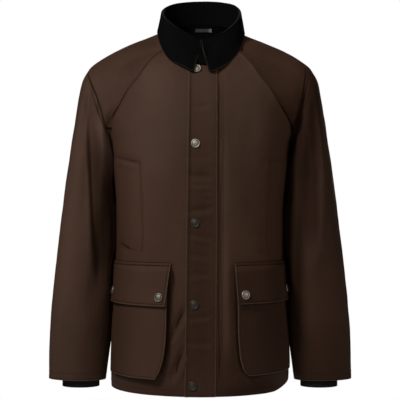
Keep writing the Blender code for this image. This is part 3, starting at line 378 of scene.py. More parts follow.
# Handwarmer patches above the pockets
HANDWARMER_INNER_X = (0.1130, 0.1330)
HANDWARMER_TOP = -0.2500
HANDWARMER_TOP_SLANT = 0.0140
HANDWARMER_BOTTOM = -0.4290
HANDWARMER_BOTTOM_SLANT = 0.0140
HANDWARMER_END_COLUMN = 8.3
# Facing and blank label inside the back of the neck
FACING_ROWS = 2
FACING_COLUMNS = 5
FACING_CLOTH = 0.0010
FACING_GAP = 0.0009
LABEL_CLOTH = 0.0010
LABEL_LEFT = -0.0100
LABEL_RIGHT = 0.0260

print("pocket plans:", len(POCKETS))

# %% [markdown]
# Reading the tables
#
# A table has few rows, and cloth has no corners between them. smooth_read draws a soft curve through the
# rows and reads it anywhere, so a handful of sizes makes a whole smooth form.

# %% Smooth reading
Sheet = namedtuple("Sheet", "points normals wrapped")
UP = np.array((0.0, 0.0, 1.0))
SIDEWAYS = np.array((1.0, 0.0, 0.0))


def unit(vectors):
    lengths = np.linalg.norm(vectors, axis=-1, keepdims=True)
    return vectors / np.maximum(lengths, 1e-12)


def smooth_read(keys, values, where):
    """A smooth curve through the values at rising keys, read at where."""
    keys = np.asarray(keys, float)
    values = np.asarray(values, float)
    slopes = np.gradient(values, keys, axis=0)
    spot = min(max(where, keys[0]), keys[-1])
    low = int(np.clip(np.searchsorted(keys, spot) - 1, 0, len(keys) - 2))
    span = keys[low + 1] - keys[low]
    t = (spot - keys[low]) / span
    rise = t * t * (3.0 - 2.0 * t)
    leave = t * (1.0 - t) ** 2 * span
    arrive = t * t * (t - 1.0) * span
    value = values[low] * (1.0 - rise) + values[low + 1] * rise
    return value + slopes[low] * leave + slopes[low + 1] * arrive


def read_table(table, key, column, where):
    rows = sorted(table, key=lambda row: getattr(row, key))
    keys = [getattr(row, key) for row in rows]
    values = [getattr(row, column) for row in rows]
    return float(smooth_read(keys, values, where))


def soft_step(value):
    t = np.clip(value, 0.0, 1.0)
    return t * t * (3.0 - 2.0 * t)


def hump(distance, half_width):
    """1 in the middle of a fold, 0 at its half width and beyond."""
    reach = abs(distance) / half_width
    return 0.5 * (1.0 + math.cos(math.pi * reach)) if reach < 1.0 else 0.0


def fold_length_share(height, top, bottom):
    """How much of its depth a fold has at a height: it fades out towards both ends."""
    share = (top - height) / (top - bottom)
    return math.sin(math.pi * share) ** FOLD_END_POWER if 0.0 < share < 1.0 else 0.0


def even_points(points, steps):
    """Points at even distances along a smooth curve through the given points."""
    points = np.asarray(points, float)
    keys = np.arange(len(points), dtype=float)
    spots = np.linspace(0.0, len(points) - 1.0, CURVE_READS)
    fine = np.array([smooth_read(keys, points, spot) for spot in spots])
    run = np.concatenate([[0.0], np.cumsum(np.linalg.norm(np.diff(fine, axis=0), axis=1))])
    spots = np.linspace(0.0, run[-1], steps + 1)
    return np.stack([np.interp(spots, run, fine[:, axis]) for axis in range(3)], axis=1)


print("half width at the waist:", round(read_table(BODY_SECTIONS, "height", "half_width", -0.39), 4))

# %% [markdown]
# The body
#
# Each front and half the back is a grid: rows go up, columns go from the middle to the side. Below the
# armpit a row is part of a squared ellipse. Above it, each row ends on the raglan seam.

# %% Neck seam and body rows
def neck_point(turn):
    """The neck seam on the wearer's left, at a turn in degrees: 0 centre front, 180 centre back."""
    cosine = math.cos(math.radians(turn))
    return np.array((
        NECK_HALF_WIDTH * math.sin(math.radians(turn)),
        NECK_MIDDLE_Y - NECK_HALF_DEPTH * cosine,
        NECK_SIDE_Z - NECK_RISE * cosine - NECK_FRONT_DIP * cosine * cosine,
    ))


def body_row(height, columns, back):
    """Outer points of the body at a height below the armpit, from the middle to the side."""
    half_width = read_table(BODY_SECTIONS, "height", "half_width", height)
    depth = read_table(BODY_SECTIONS, "height", "back" if back else "front", height)
    power = 2.0 / read_table(BODY_SECTIONS, "height", "squareness", height)
    row = []
    for column in range(columns + 1):
        turn = 0.5 * math.pi * column / columns
        x = half_width * math.sin(turn) ** power
        y = depth * max(math.cos(turn), 0.0) ** power
        row.append((x, y if back else -y, height))
    return np.array(row)


def upper_row(seam_point, climb, columns, back):
    """Outer points above the armpit, from the middle of the front or back to the raglan seam."""
    mid_line = BACK_MID if back else FRONT_MID
    way = 1.0 if back else -1.0
    top_z = neck_point(180.0 if back else 0.0)[2]
    armpit_z = FRONT_SEAM[0].z
    neck_seam_z = neck_point(BACK_SEAM_TURN if back else FRONT_SEAM_TURN)[2]
    share = (seam_point[2] - armpit_z) / (neck_seam_z - armpit_z)
    mid_z = armpit_z + share * (top_z - armpit_z)
    middle_y = NECK_MIDDLE_Y * climb ** 2
    depth = read_table(mid_line, "height", "depth", mid_z) - way * middle_y
    squareness = UPPER_SQUARENESS + (NECK_SQUARENESS - UPPER_SQUARENESS) * climb
    inward = min(abs(seam_point[1] - middle_y) / depth, 0.999)
    half_width = seam_point[0] / (1.0 - inward ** squareness) ** (1.0 / squareness)
    seam_turn = math.asin(min(seam_point[0] / half_width, 1.0) ** (squareness / 2.0))
    row = []
    for column in range(columns + 1):
        turn = seam_turn * column / columns
        x = half_width * math.sin(turn) ** (2.0 / squareness)
        out = depth * max(math.cos(turn), 0.0) ** (2.0 / squareness)
        y = middle_y + way * out
        mid_y = middle_y + way * depth
        change = (y - mid_y) / (seam_point[1] - mid_y)
        row.append((x, y, mid_z + change * (seam_point[2] - mid_z)))
    row[-1] = tuple(seam_point)
    return np.array(row)


print("neck seam at the centre front:", neck_point(0.0).round(4))

# %% Raglan seams and panels
def seam_curve(back):
    """The raglan seam from the armpit to the neck, at even steps."""
    table = BACK_SEAM if back else FRONT_SEAM
    points = [tuple(point) for point in table]
    points.append(tuple(neck_point(BACK_SEAM_TURN if back else FRONT_SEAM_TURN)))
    return even_points(points, SEAM_STEPS)


def half_body(columns, back):
    """The front or half the back on the wearer's left, from the hem to the neck."""
    rows = [body_row(height, columns, back) for height in BODY_ROWS[:-1]]
    seam = seam_curve(back)
    for step, point in enumerate(seam):
        rows.append(upper_row(point, step / SEAM_STEPS, columns, back))
    return np.array(rows)


def fold_back(points):
    """Press the long folds into the back."""
    folded = points.copy()
    for index in np.ndindex(points.shape[:2]):
        x, y, z = points[index]
        dip = 0.0
        for fold in BACK_FOLDS:
            across = fold.across + fold.lean * (fold.top - z) / (fold.top - fold.bottom)
            share = fold_length_share(z, fold.top, fold.bottom)
            dip += fold.depth * hump(x - across, fold.half_width) * share
        folded[index][1] = y - dip
    return folded


def mirrored(points):
    return points * np.array((-1.0, 1.0, 1.0))


front_grid = half_body(FRONT_COLUMNS, False)
print("front grid:", front_grid.shape)

# %% [markdown]
# The sleeves
#
# A sleeve is a stack of rings. The first one runs along the raglan seams and the neck, the next few carry
# the cloth over the shoulder, and the rest are squared ellipses down the arm, dented by the long folds.

# %% Sleeve rings
def sleeve_ring(along, side):
    """One ring of the arm at a place along the sections, from the inner side round the front."""
    keys = range(len(SLEEVE_SECTIONS))
    inner_x, inner_z, outer_x, outer_z, front, back, middle_y = (
        smooth_read(keys, [section[column] for section in SLEEVE_SECTIONS], along)
        for column in range(len(SleeveSection._fields))
    )
    columns = 2 * SEAM_STEPS + NECK_STEPS
    power = 2.0 / SLEEVE_SQUARENESS
    ring = []
    for column in range(columns):
        turn = 2.0 * math.pi * column / columns
        over = -math.copysign(abs(math.cos(turn)) ** power, math.cos(turn))
        out = abs(math.sin(turn)) ** power
        x = 0.5 * (inner_x + outer_x) + 0.5 * (outer_x - inner_x) * over
        z = 0.5 * (inner_z + outer_z) + 0.5 * (outer_z - inner_z) * over
        y = middle_y + (-front if turn <= math.pi else back) * out
        dip = sum(sleeve_dip(fold, math.degrees(turn), z) for fold in SLEEVE_FOLDS if fold.side == side)
        centre = np.array((0.5 * (inner_x + outer_x), middle_y, z))
        point = np.array((x, y, z))
        ring.append(point - unit(point - centre) * dip)
    return np.array(ring)


def sleeve_dip(fold, turn, height):
    share = (fold.top - height) / (fold.top - fold.bottom)
    away = (turn - fold.turn - fold.lean * share + 180.0) % 360.0 - 180.0
    return fold.depth * hump(away, fold.half_turn) * fold_length_share(height, fold.top, fold.bottom)


def raglan_loop():
    """The edge that the sleeve is sewn in by: up the front seam, along the neck, down the back seam."""
    front = seam_curve(False)
    back = seam_curve(True)
    turns = np.linspace(FRONT_SEAM_TURN, BACK_SEAM_TURN, NECK_STEPS + 1)[1:-1]
    neck = [neck_point(turn) for turn in turns]
    return np.concatenate([front, np.array(neck), back[:0:-1]])


def sleeve_points(side):
    """Rows of rings from the raglan seams over the shoulder and down to the sleeve hem."""
    loop = raglan_loop()
    armhole = sleeve_ring(0.0, side)
    columns = len(loop)
    rows = []
    for step in range(YOKE_STEPS):
        t = step / YOKE_STEPS
        flat = loop * (1.0 - t) + armhole * t
        turns = [2.0 * math.pi * column / columns for column in range(columns)]
        lift = np.array([0.5 * (1.0 - math.cos(turn)) for turn in turns])
        away = unit(flat - SHOULDER_CORE)
        rows.append(flat + away * (YOKE_BULGE * 4.0 * t * (1.0 - t) * lift)[:, None])
    last = len(SLEEVE_SECTIONS) - 1.0
    for along in np.linspace(0.0, last, ARM_STEPS + 1):
        rows.append(sleeve_ring(along, side))
    return np.array(rows)


print("points along the raglan seam:", len(raglan_loop()))

# %% Directions out of the cloth
def grid_normals(points, wrapped, outward):
    """Unit normals of a grid of points, turned to the side that outward(points) points to."""
    along = np.gradient(points, axis=0)
    if wrapped:
        across = np.roll(points, -1, axis=1) - np.roll(points, 1, axis=1)
    else:
        across = np.gradient(points, axis=1)
    normals = unit(np.cross(across, along))
    votes = np.sum(normals * outward(points))
    return normals if votes > 0.0 else -normals


def from_axis(points):
    """Directions away from the upright axis of the body."""
    return unit(points * np.array((1.0, 1.0, 0.0)))


def from_ring_middles(points):
    return unit(points - points.mean(axis=1, keepdims=True))


def share_normals(sheets):
    """At a seam both pieces take the mean of their directions, so their edges face each other."""
    totals = {}
    for sheet in sheets:
        for point, normal in zip(sheet.points.reshape(-1, 3), sheet.normals.reshape(-1, 3)):
            key = tuple(np.round(point, 6) + 0.0)
            totals[key] = totals.get(key, np.zeros(3)) + normal
    shared = []
    for sheet in sheets:
        keys = [tuple(np.round(point, 6) + 0.0) for point in sheet.points.reshape(-1, 3)]
        normals = unit(np.array([totals[key] for key in keys])).reshape(sheet.points.shape)
        shared.append(Sheet(sheet.points, normals, sheet.wrapped))
    return shared


def body_sheets():
    """The fronts, the back and the sleeves, with shared directions where they are sewn together."""
    half_back = half_body(BACK_COLUMNS, True)
    back = fold_back(np.concatenate([mirrored(half_back)[:, :0:-1], half_back], axis=1))
    grids = (
        (mirrored(front_grid), False, from_axis),
        (front_grid, False, from_axis),
        (back, False, from_axis),
        (mirrored(sleeve_points(-1)), True, from_ring_middles),
        (sleeve_points(1), True, from_ring_middles),
    )
    found = [Sheet(grid, grid_normals(grid, round_it, out), round_it) for grid, round_it, out in grids]
    return share_normals(found)


HEM_LIFT = 0.0130
HEM_LIFT_X = 0.1450
HEM_LIFT_WIDTH = 0.0380
HEM_LIFT_TOP = -0.6300
HEM_OUT_POWER = 1.4
HEM_LOW_POWER = 1.5


def lifted_hem(sheet):
    """On the wearer's left the hem's corner hangs a little higher."""
    out = (sheet.points[..., 0] - HEM_LIFT_X) / HEM_LIFT_WIDTH
    low = (HEM_LIFT_TOP - sheet.points[..., 2]) / (HEM_LIFT_TOP - BODY_ROWS[0])
    rise = HEM_LIFT * np.clip(out, 0.0, 1.0) ** HEM_OUT_POWER * np.clip(low, 0.0, 1.0) ** HEM_LOW_POWER
    return sheet._replace(points=sheet.points + np.stack([rise * 0.0, rise * 0.0, rise], axis=-1))


sheets = body_sheets()
sheets[1:3] = [lifted_hem(sheet) for sheet in sheets[1:3]]
print("sheets:", len(sheets))

# %% [markdown]
# Places on a sheet
#
# A pocket is sewn onto a front, so it is described by places on that front, as a row number and a column
# number with decimals. These helpers read a point at a place, and find the place of a point.

# %% Finding places
def split_at(place, count):
    """The whole number below a place among count rows, and the share of the way to the next one."""
    low = int(min(max(math.floor(place), 0), count - 2))
    return low, place - low


def place_among(value, keys):
    """The place between rising keys at which a value lies."""
    return float(np.interp(value, keys, np.arange(len(keys))))


def between(grid, low, share):
    return grid[low] * (1.0 - share) + grid[low + 1] * share


def read_sheet(sheet, row, column):
    """The point and direction of a sheet at a place between its rows and columns."""
    low_row, t = split_at(row, sheet.points.shape[0])
    low_column, s = split_at(column, sheet.points.shape[1])
    point, normal = (
        between(grid[low_row], low_column, s) * (1.0 - t) + between(grid[low_row + 1], low_column, s) * t
        for grid in (sheet.points, sheet.normals)
    )
    return point, unit(normal)


def row_at(sheet, column, height):
    """The row place at which a column of a body sheet reaches a height."""
    return place_among(height, between(sheet.points[..., 2].T, *split_at(column, sheet.points.shape[1])))


def column_at(sheet, row, out):
    """The column place at which a row of a body sheet is out metres from the middle."""
    return place_among(out, np.abs(between(sheet.points[..., 0], *split_at(row, sheet.points.shape[0]))))


def place_at(sheet, out, height):
    """The row and column place on a front that is out metres from the middle, at a height."""
    column = column_at(sheet, row_at(sheet, 0.0, height), out)
    for _ in range(PLACE_TRIES):
        row = row_at(sheet, column, height)
        column = column_at(sheet, row, out)
    return row, column


def laid_points(sheet, places, lifts):
    """Points over a sheet: a grid of row and column places, each lifted by its own height."""
    read = [[read_sheet(sheet, *place) for place in row] for row in places]
    normals = np.array([[normal for _, normal in row] for row in read])
    return np.array([[point for point, _ in row] for row in read]) + normals * lifts[..., None], normals


def places_of(front, columns, heights):
    """Row and column places from the column places at each height."""
    return np.array([
        [(row_at(front, column, height), column) for column in row] for row, height in zip(columns, heights)
    ])


def bag_stand(column_share, height):
    """How far the bellows bag stands off the front: most at its inner edge, least at its outer end."""
    drop = soft_step((POCKETS[0].bag[0].height - height) / POCKET_STAND_DEPTH)
    inner = POCKET_STAND_INNER_TOP + (POCKET_STAND_INNER_LOW - POCKET_STAND_INNER_TOP) * drop
    return inner + (POCKET_STAND_END - inner) * column_share ** POCKET_STAND_POWER


def flap_lift(share, height, top):
    """The flap starts flat on the front, climbs over the mouth of the bag and hangs clear of its face."""
    climbed = soft_step((top - height) / (top - FLAP_OVER_ROW))
    return FLAP_BED + FLAP_CLOTH + bag_stand(share, height) * climbed


def pocket_places(front, rows, spread):
    """Column places of a pocket piece at each height: inner edge, the front's own columns, outer end."""
    heights = [row.height for row in rows]
    lowest = min(heights) + POCKET_ROW_APART
    highest = max(heights) - POCKET_ROW_APART
    heights = sorted(set(heights + [height for height in BODY_ROWS if lowest < height < highest]))
    starts = inner_columns(front, rows, heights)
    end = POCKET_END_COLUMN + spread
    whole = range(math.ceil(max(starts) + LEAST_COLUMN_STEP), math.floor(end - LEAST_COLUMN_STEP) + 1)
    return np.array([[start, *whole, end] for start in starts], float), heights


def inner_columns(front, rows, heights):
    return [place_at(front, read_table(rows, "height", "inner_x", height), height)[1] for height in heights]


print("column of the right pocket's edge:", round(place_at(sheets[0], 0.0635, -0.536)[1], 2))

# %% [markdown]
# Cloth that rests on cloth
#
# The sleeves hang against the body and its pockets, and the collar lies on the shoulders. Points that come
# too near are moved out until they are just clear, as real cloth is pushed aside.

# %% Resting
def fine_sheet(sheet):
    """Points and directions at even places between a sheet's rows and columns."""
    counts = sheet.points.shape[:2]
    rows, columns = (np.arange((count - 1) * GROUND_STEPS + 1) / GROUND_STEPS for count in counts)
    points, normals = zip(*(read_sheet(sheet, row, column) for row in rows for column in columns))
    return np.array(points), np.array(normals)


def rested(point, ground, directions, obstacles, clear):
    """The point, moved out from the ground below it until it is clear of every obstacle near it."""
    direction = directions[int(np.argmin(np.sum((ground - point) ** 2, axis=1)))]
    beside = obstacles[np.sum((obstacles - point) ** 2, axis=1) < REST_REACH ** 2]
    if len(beside) == 0:
        return point
    height = float(np.min((point - beside) @ direction))
    return point + direction * max(clear - height, 0.0)


def body_ground(sheets):
    """Fine points and directions of the fronts and the back. At the raglan edges the direction is nil."""
    armpit = len(BODY_ROWS) - 1
    grounds = []
    for sheet in sheets:
        normals = sheet.normals.copy()
        normals[armpit:, [0, -1]] = 0.0
        points, ways = fine_sheet(Sheet(sheet.points[armpit - 1:], normals[armpit - 1:], False))
        spans = GROUND_STEPS * (sheet.points.shape[1] - 1)
        place = np.arange(len(points)) % (spans + 1)
        ways[(place == 0) | (place == spans)] = 0.0
        grounds += [fine_sheet(Sheet(sheet.points[:armpit], normals[:armpit], False)), (points, ways)]
    return [np.concatenate(grids) for grids in zip(*grounds)]


def pressed_sleeve(sheet, ground, directions, obstacles):
    """A sleeve lies against the body and its pockets. Its inner side takes their form, just clear of them."""
    points = sheet.points.copy()
    for row in range(1, len(points)):
        clear = YOKE_CLEAR * row / YOKE_STEPS if row <= YOKE_STEPS else SLEEVE_CLEAR
        points[row] = [rested(point, ground, directions, obstacles, clear) for point in points[row]]
    normals = grid_normals(points, True, from_ring_middles)
    normals[0] = sheet.normals[0]
    return Sheet(points, normals, True)


def cap_face(middle, normal):
    """The outer face of a snap cap as a small flat sheet."""
    side = unit(np.cross(UP, normal)) * SNAP_RADIUS
    rise = np.cross(normal, side)
    points = np.array([[middle + side * s + rise * r for s in (-1.0, 0.0, 1.0)] for r in (-1.0, 0.0, 1.0)])
    return Sheet(points, np.broadcast_to(normal, points.shape), False)


def laid_piece(front, columns, heights, lift):
    """A pocket piece over a front. lift gives its height from its share of the way out and its level."""
    shares = (columns - columns[:, :1]) / (columns[:, -1:] - columns[:, :1])
    lifts = np.array([[lift(share, height) for share in row] for row, height in zip(shares, heights)])
    places = places_of(front, columns, heights)
    return places, *laid_points(front, places, lifts)


def pocket_obstacles(plan, front):
    """The outer faces of a pocket, its flap and its snaps, for the sleeve to rest on."""
    columns, heights = pocket_places(front, plan.bag, 0.0)
    bag = laid_piece(front, columns, heights, bag_stand)[1]
    top = max(row.height for row in plan.flap)
    columns, heights = pocket_places(front, plan.flap, FLAP_OVERHANG_COLUMNS)
    heights = sorted(set(heights + [FLAP_RISE_ROW, FLAP_OVER_ROW]))
    columns = np.array([[start, *columns[0, 1:]] for start in inner_columns(front, plan.flap, heights)])
    places, points, guides = laid_piece(
        front, columns, heights, lambda share, level: flap_lift(share, level, top),
    )
    flap = Sheet(points, grid_normals(points, False, from_axis), False)
    found = [Sheet(bag, bag, False), Sheet(points, guides, False)]
    outer = plan.outer_snap_column
    spots = (place_at(front, plan.snap_x, plan.snap_z), (row_at(front, outer, plan.snap_z), outer))
    for row, column in spots:
        flap_row = place_among(row, places[:, 0, 0])
        edges = between(places[..., 1], *split_at(flap_row, len(places)))
        point, normal = read_sheet(flap, flap_row, place_among(column, edges))
        found.append(cap_face(point + normal * (LAY_GAP + SNAP_HEIGHT), normal))
    return found


ground, ground_directions = body_ground(sheets[:3])
pressed = []
for plan, front, sleeve in zip(POCKETS, sheets[:2], sheets[3:]):
    near = [fine_sheet(piece)[0] for piece in pocket_obstacles(plan, front)]
    pressed.append(pressed_sleeve(sleeve, ground, ground_directions, np.concatenate([ground] + near)))
print("sleeves pressed:", len(pressed))

# %% [markdown]
# From a coarse grid to smooth cloth
#
# The tables give a grid with squares of 20 to 40 mm. A Catmull-Rom curve runs through every grid point, so
# it can be read at any place in between, more densely near the seams, and the cloth keeps its form there.

# %% Smooth cloth
Cloth = namedtuple("Cloth", "points normals wrapped rows columns edge seam marks")
FAR = 0.2
EDGE_PLACES = (0.02, 0.05, 0.09, 0.14, 0.20)
ARMPIT_HEIGHT = -0.182
ARMPIT_REACH = 0.016
ARMPIT_SOFTER = 0.0030


def catmull(values, places, wrapped):
    """Values along the first axis, read at places between them on a smooth curve."""
    count = len(values)
    low = np.floor(places).astype(int)
    if not wrapped:
        low = np.minimum(low, count - 2)
        values = np.concatenate([2 * values[:1] - values[1:2], values, 2 * values[-1:] - values[-2:-1]])
    t = (places - low).reshape((-1,) + (1,) * (values.ndim - 1))
    if wrapped:
        a, b, c, d = (values[(low + shift) % count] for shift in (-1, 0, 1, 2))
    else:
        a, b, c, d = (values[low + shift] for shift in (0, 1, 2, 3))
    cubic = (3.0 * b - 3.0 * c + d - a) * t + (2.0 * a - 5.0 * b + 4.0 * c - d)
    return b + 0.5 * t * ((c - a) + t * cubic)


def dense_places(count, steps, wrapped, low_edge, high_edge):
    """Places along a grid of count points, with more of them near the edges that are sewn."""
    last = count if wrapped else count - 1
    places = np.arange(0, last * steps + (0 if wrapped else 1)) / steps
    extra = list(EDGE_PLACES) if low_edge else []
    extra += [last - place for place in EDGE_PLACES] if high_edge else []
    return np.unique(np.round(np.concatenate([places, extra]), 4))


def smooth_cloth(sheet, row_steps, column_steps, edges, seams):
    """A fine cloth through a coarse sheet. edges names its free sides, and seams the ones that are sewn."""
    named = edges + seams
    rows = dense_places(len(sheet.points), row_steps, False, "low_row" in named, "high_row" in named)
    columns = dense_places(sheet.points.shape[1], column_steps, sheet.wrapped,
                           "low_column" in named, "high_column" in named)
    fine = catmull(sheet.points, rows, False)
    fine = catmull(fine.swapaxes(0, 1), columns, sheet.wrapped).swapaxes(0, 1)
    along = catmull(sheet.normals, rows, False).swapaxes(0, 1)
    outward = catmull(along, columns, sheet.wrapped).swapaxes(0, 1)
    normals = grid_normals(fine, sheet.wrapped, lambda points: outward)
    softer = ARMPIT_SOFTER * np.exp(-((fine[..., 2] - ARMPIT_HEIGHT) / ARMPIT_REACH) ** 2)
    return Cloth(fine, normals, sheet.wrapped, rows, columns,
                 side_distance(fine, edges), side_distance(fine, seams) + softer, {})


def run_along(points, axis):
    """Distance travelled along the rows or the columns of a grid."""
    steps = np.linalg.norm(np.diff(points, axis=axis), axis=2)
    start = np.zeros_like(np.take(steps, [0], axis=axis))
    return np.concatenate([start, np.cumsum(steps, axis=axis)], axis=axis)


def side_distance(points, sides):
    """How far each point is from the nearest of the named sides."""
    up = run_along(points, 0)
    across = run_along(points, 1)
    far = np.full(up.shape, FAR)
    reach = {
        "low_row": up,
        "high_row": up[-1:] - up,
        "low_column": across,
        "high_column": across[:, -1:] - across,
    }
    for side in sides:
        far = np.minimum(far, reach[side])
    return far


def cloth_of(points, normals, edges, seams=(), wrapped=False):
    """A cloth from a grid that is fine already."""
    points = np.array(points)
    rows, columns = (np.arange(count, dtype=float) for count in points.shape[:2])
    return Cloth(points, np.array(normals), wrapped, rows, columns,
                 side_distance(points, edges), side_distance(points, seams), {})


def read_cloth(cloth, row, column):
    """Point and direction of a fine cloth at a place of the coarse sheet it came from."""
    return read_sheet(cloth, place_among(row, cloth.rows), place_among(column, cloth.columns))


bare_fronts = [smooth_cloth(sheet, 6, 7, ("low_row",), ("high_column",)) for sheet in sheets[:2]]
bare_back = smooth_cloth(sheets[2], 6, 6, ("low_row",), ("low_column", "high_column"))
print("front points:", bare_fronts[0].points.shape[:2], "back points:", bare_back.points.shape[:2])

# %% [markdown]
# Sewing the sleeve's edge to the panels
#
# The sleeve's first ring and the panels' seam edges are the same seam, but each smooth curve bends a little
# differently between the table's points. The ring is moved onto the panels' edges, and the change fades out.

# %% Sleeve cloth
SEW_FADE_ROWS = 1.5


def sewn_sleeve(sheet, front, back_edge):
    cloth = smooth_cloth(sheet, 6, 6, ("high_row",), ("low_row",))
    armpit = len(BODY_ROWS) - 1
    target = cloth.points[0].copy()
    size = sheet.points.shape[1]
    for index, place in enumerate(cloth.columns):
        if place <= SEAM_STEPS:
            target[index] = read_cloth(front, armpit + place, FRONT_COLUMNS)[0]
        elif place >= size - SEAM_STEPS:
            target[index] = read_cloth(bare_back, armpit + size - place, back_edge)[0]
    shift = target - cloth.points[0]
    fade = np.clip(1.0 - cloth.rows / SEW_FADE_ROWS, 0.0, 1.0) ** 2
    points = cloth.points + fade[:, None, None] * shift[None]
    normals = grid_normals(points, True, from_ring_middles)
    return cloth._replace(points=points, normals=normals)


bare_sleeves = [
    sewn_sleeve(pressed[0], bare_fronts[0], 0.0),
    sewn_sleeve(pressed[1], bare_fronts[1], 2.0 * BACK_COLUMNS),
]
print("sleeve points:", bare_sleeves[0].points.shape[:2])

# %% [markdown]
# Creases
#
# Waxed cotton is stiff, so it keeps few, soft creases. Each one here is listed one by one: a line on the
# front, the back or a side, with its depth, its width and the ridge that the pushed cloth makes beside it.
# A crease is a trough that fades at both ends. A little smooth noise keeps the rest from being too even.

# %% Crease table
# shade is painted shade in the colour, in the trough or on a ledge's low side; rows without depth only paint
# an area, and a negative shade paints light there instead
Crease = namedtuple("Crease", "line depth width ridge shade", defaults=(0.0, 0.0))
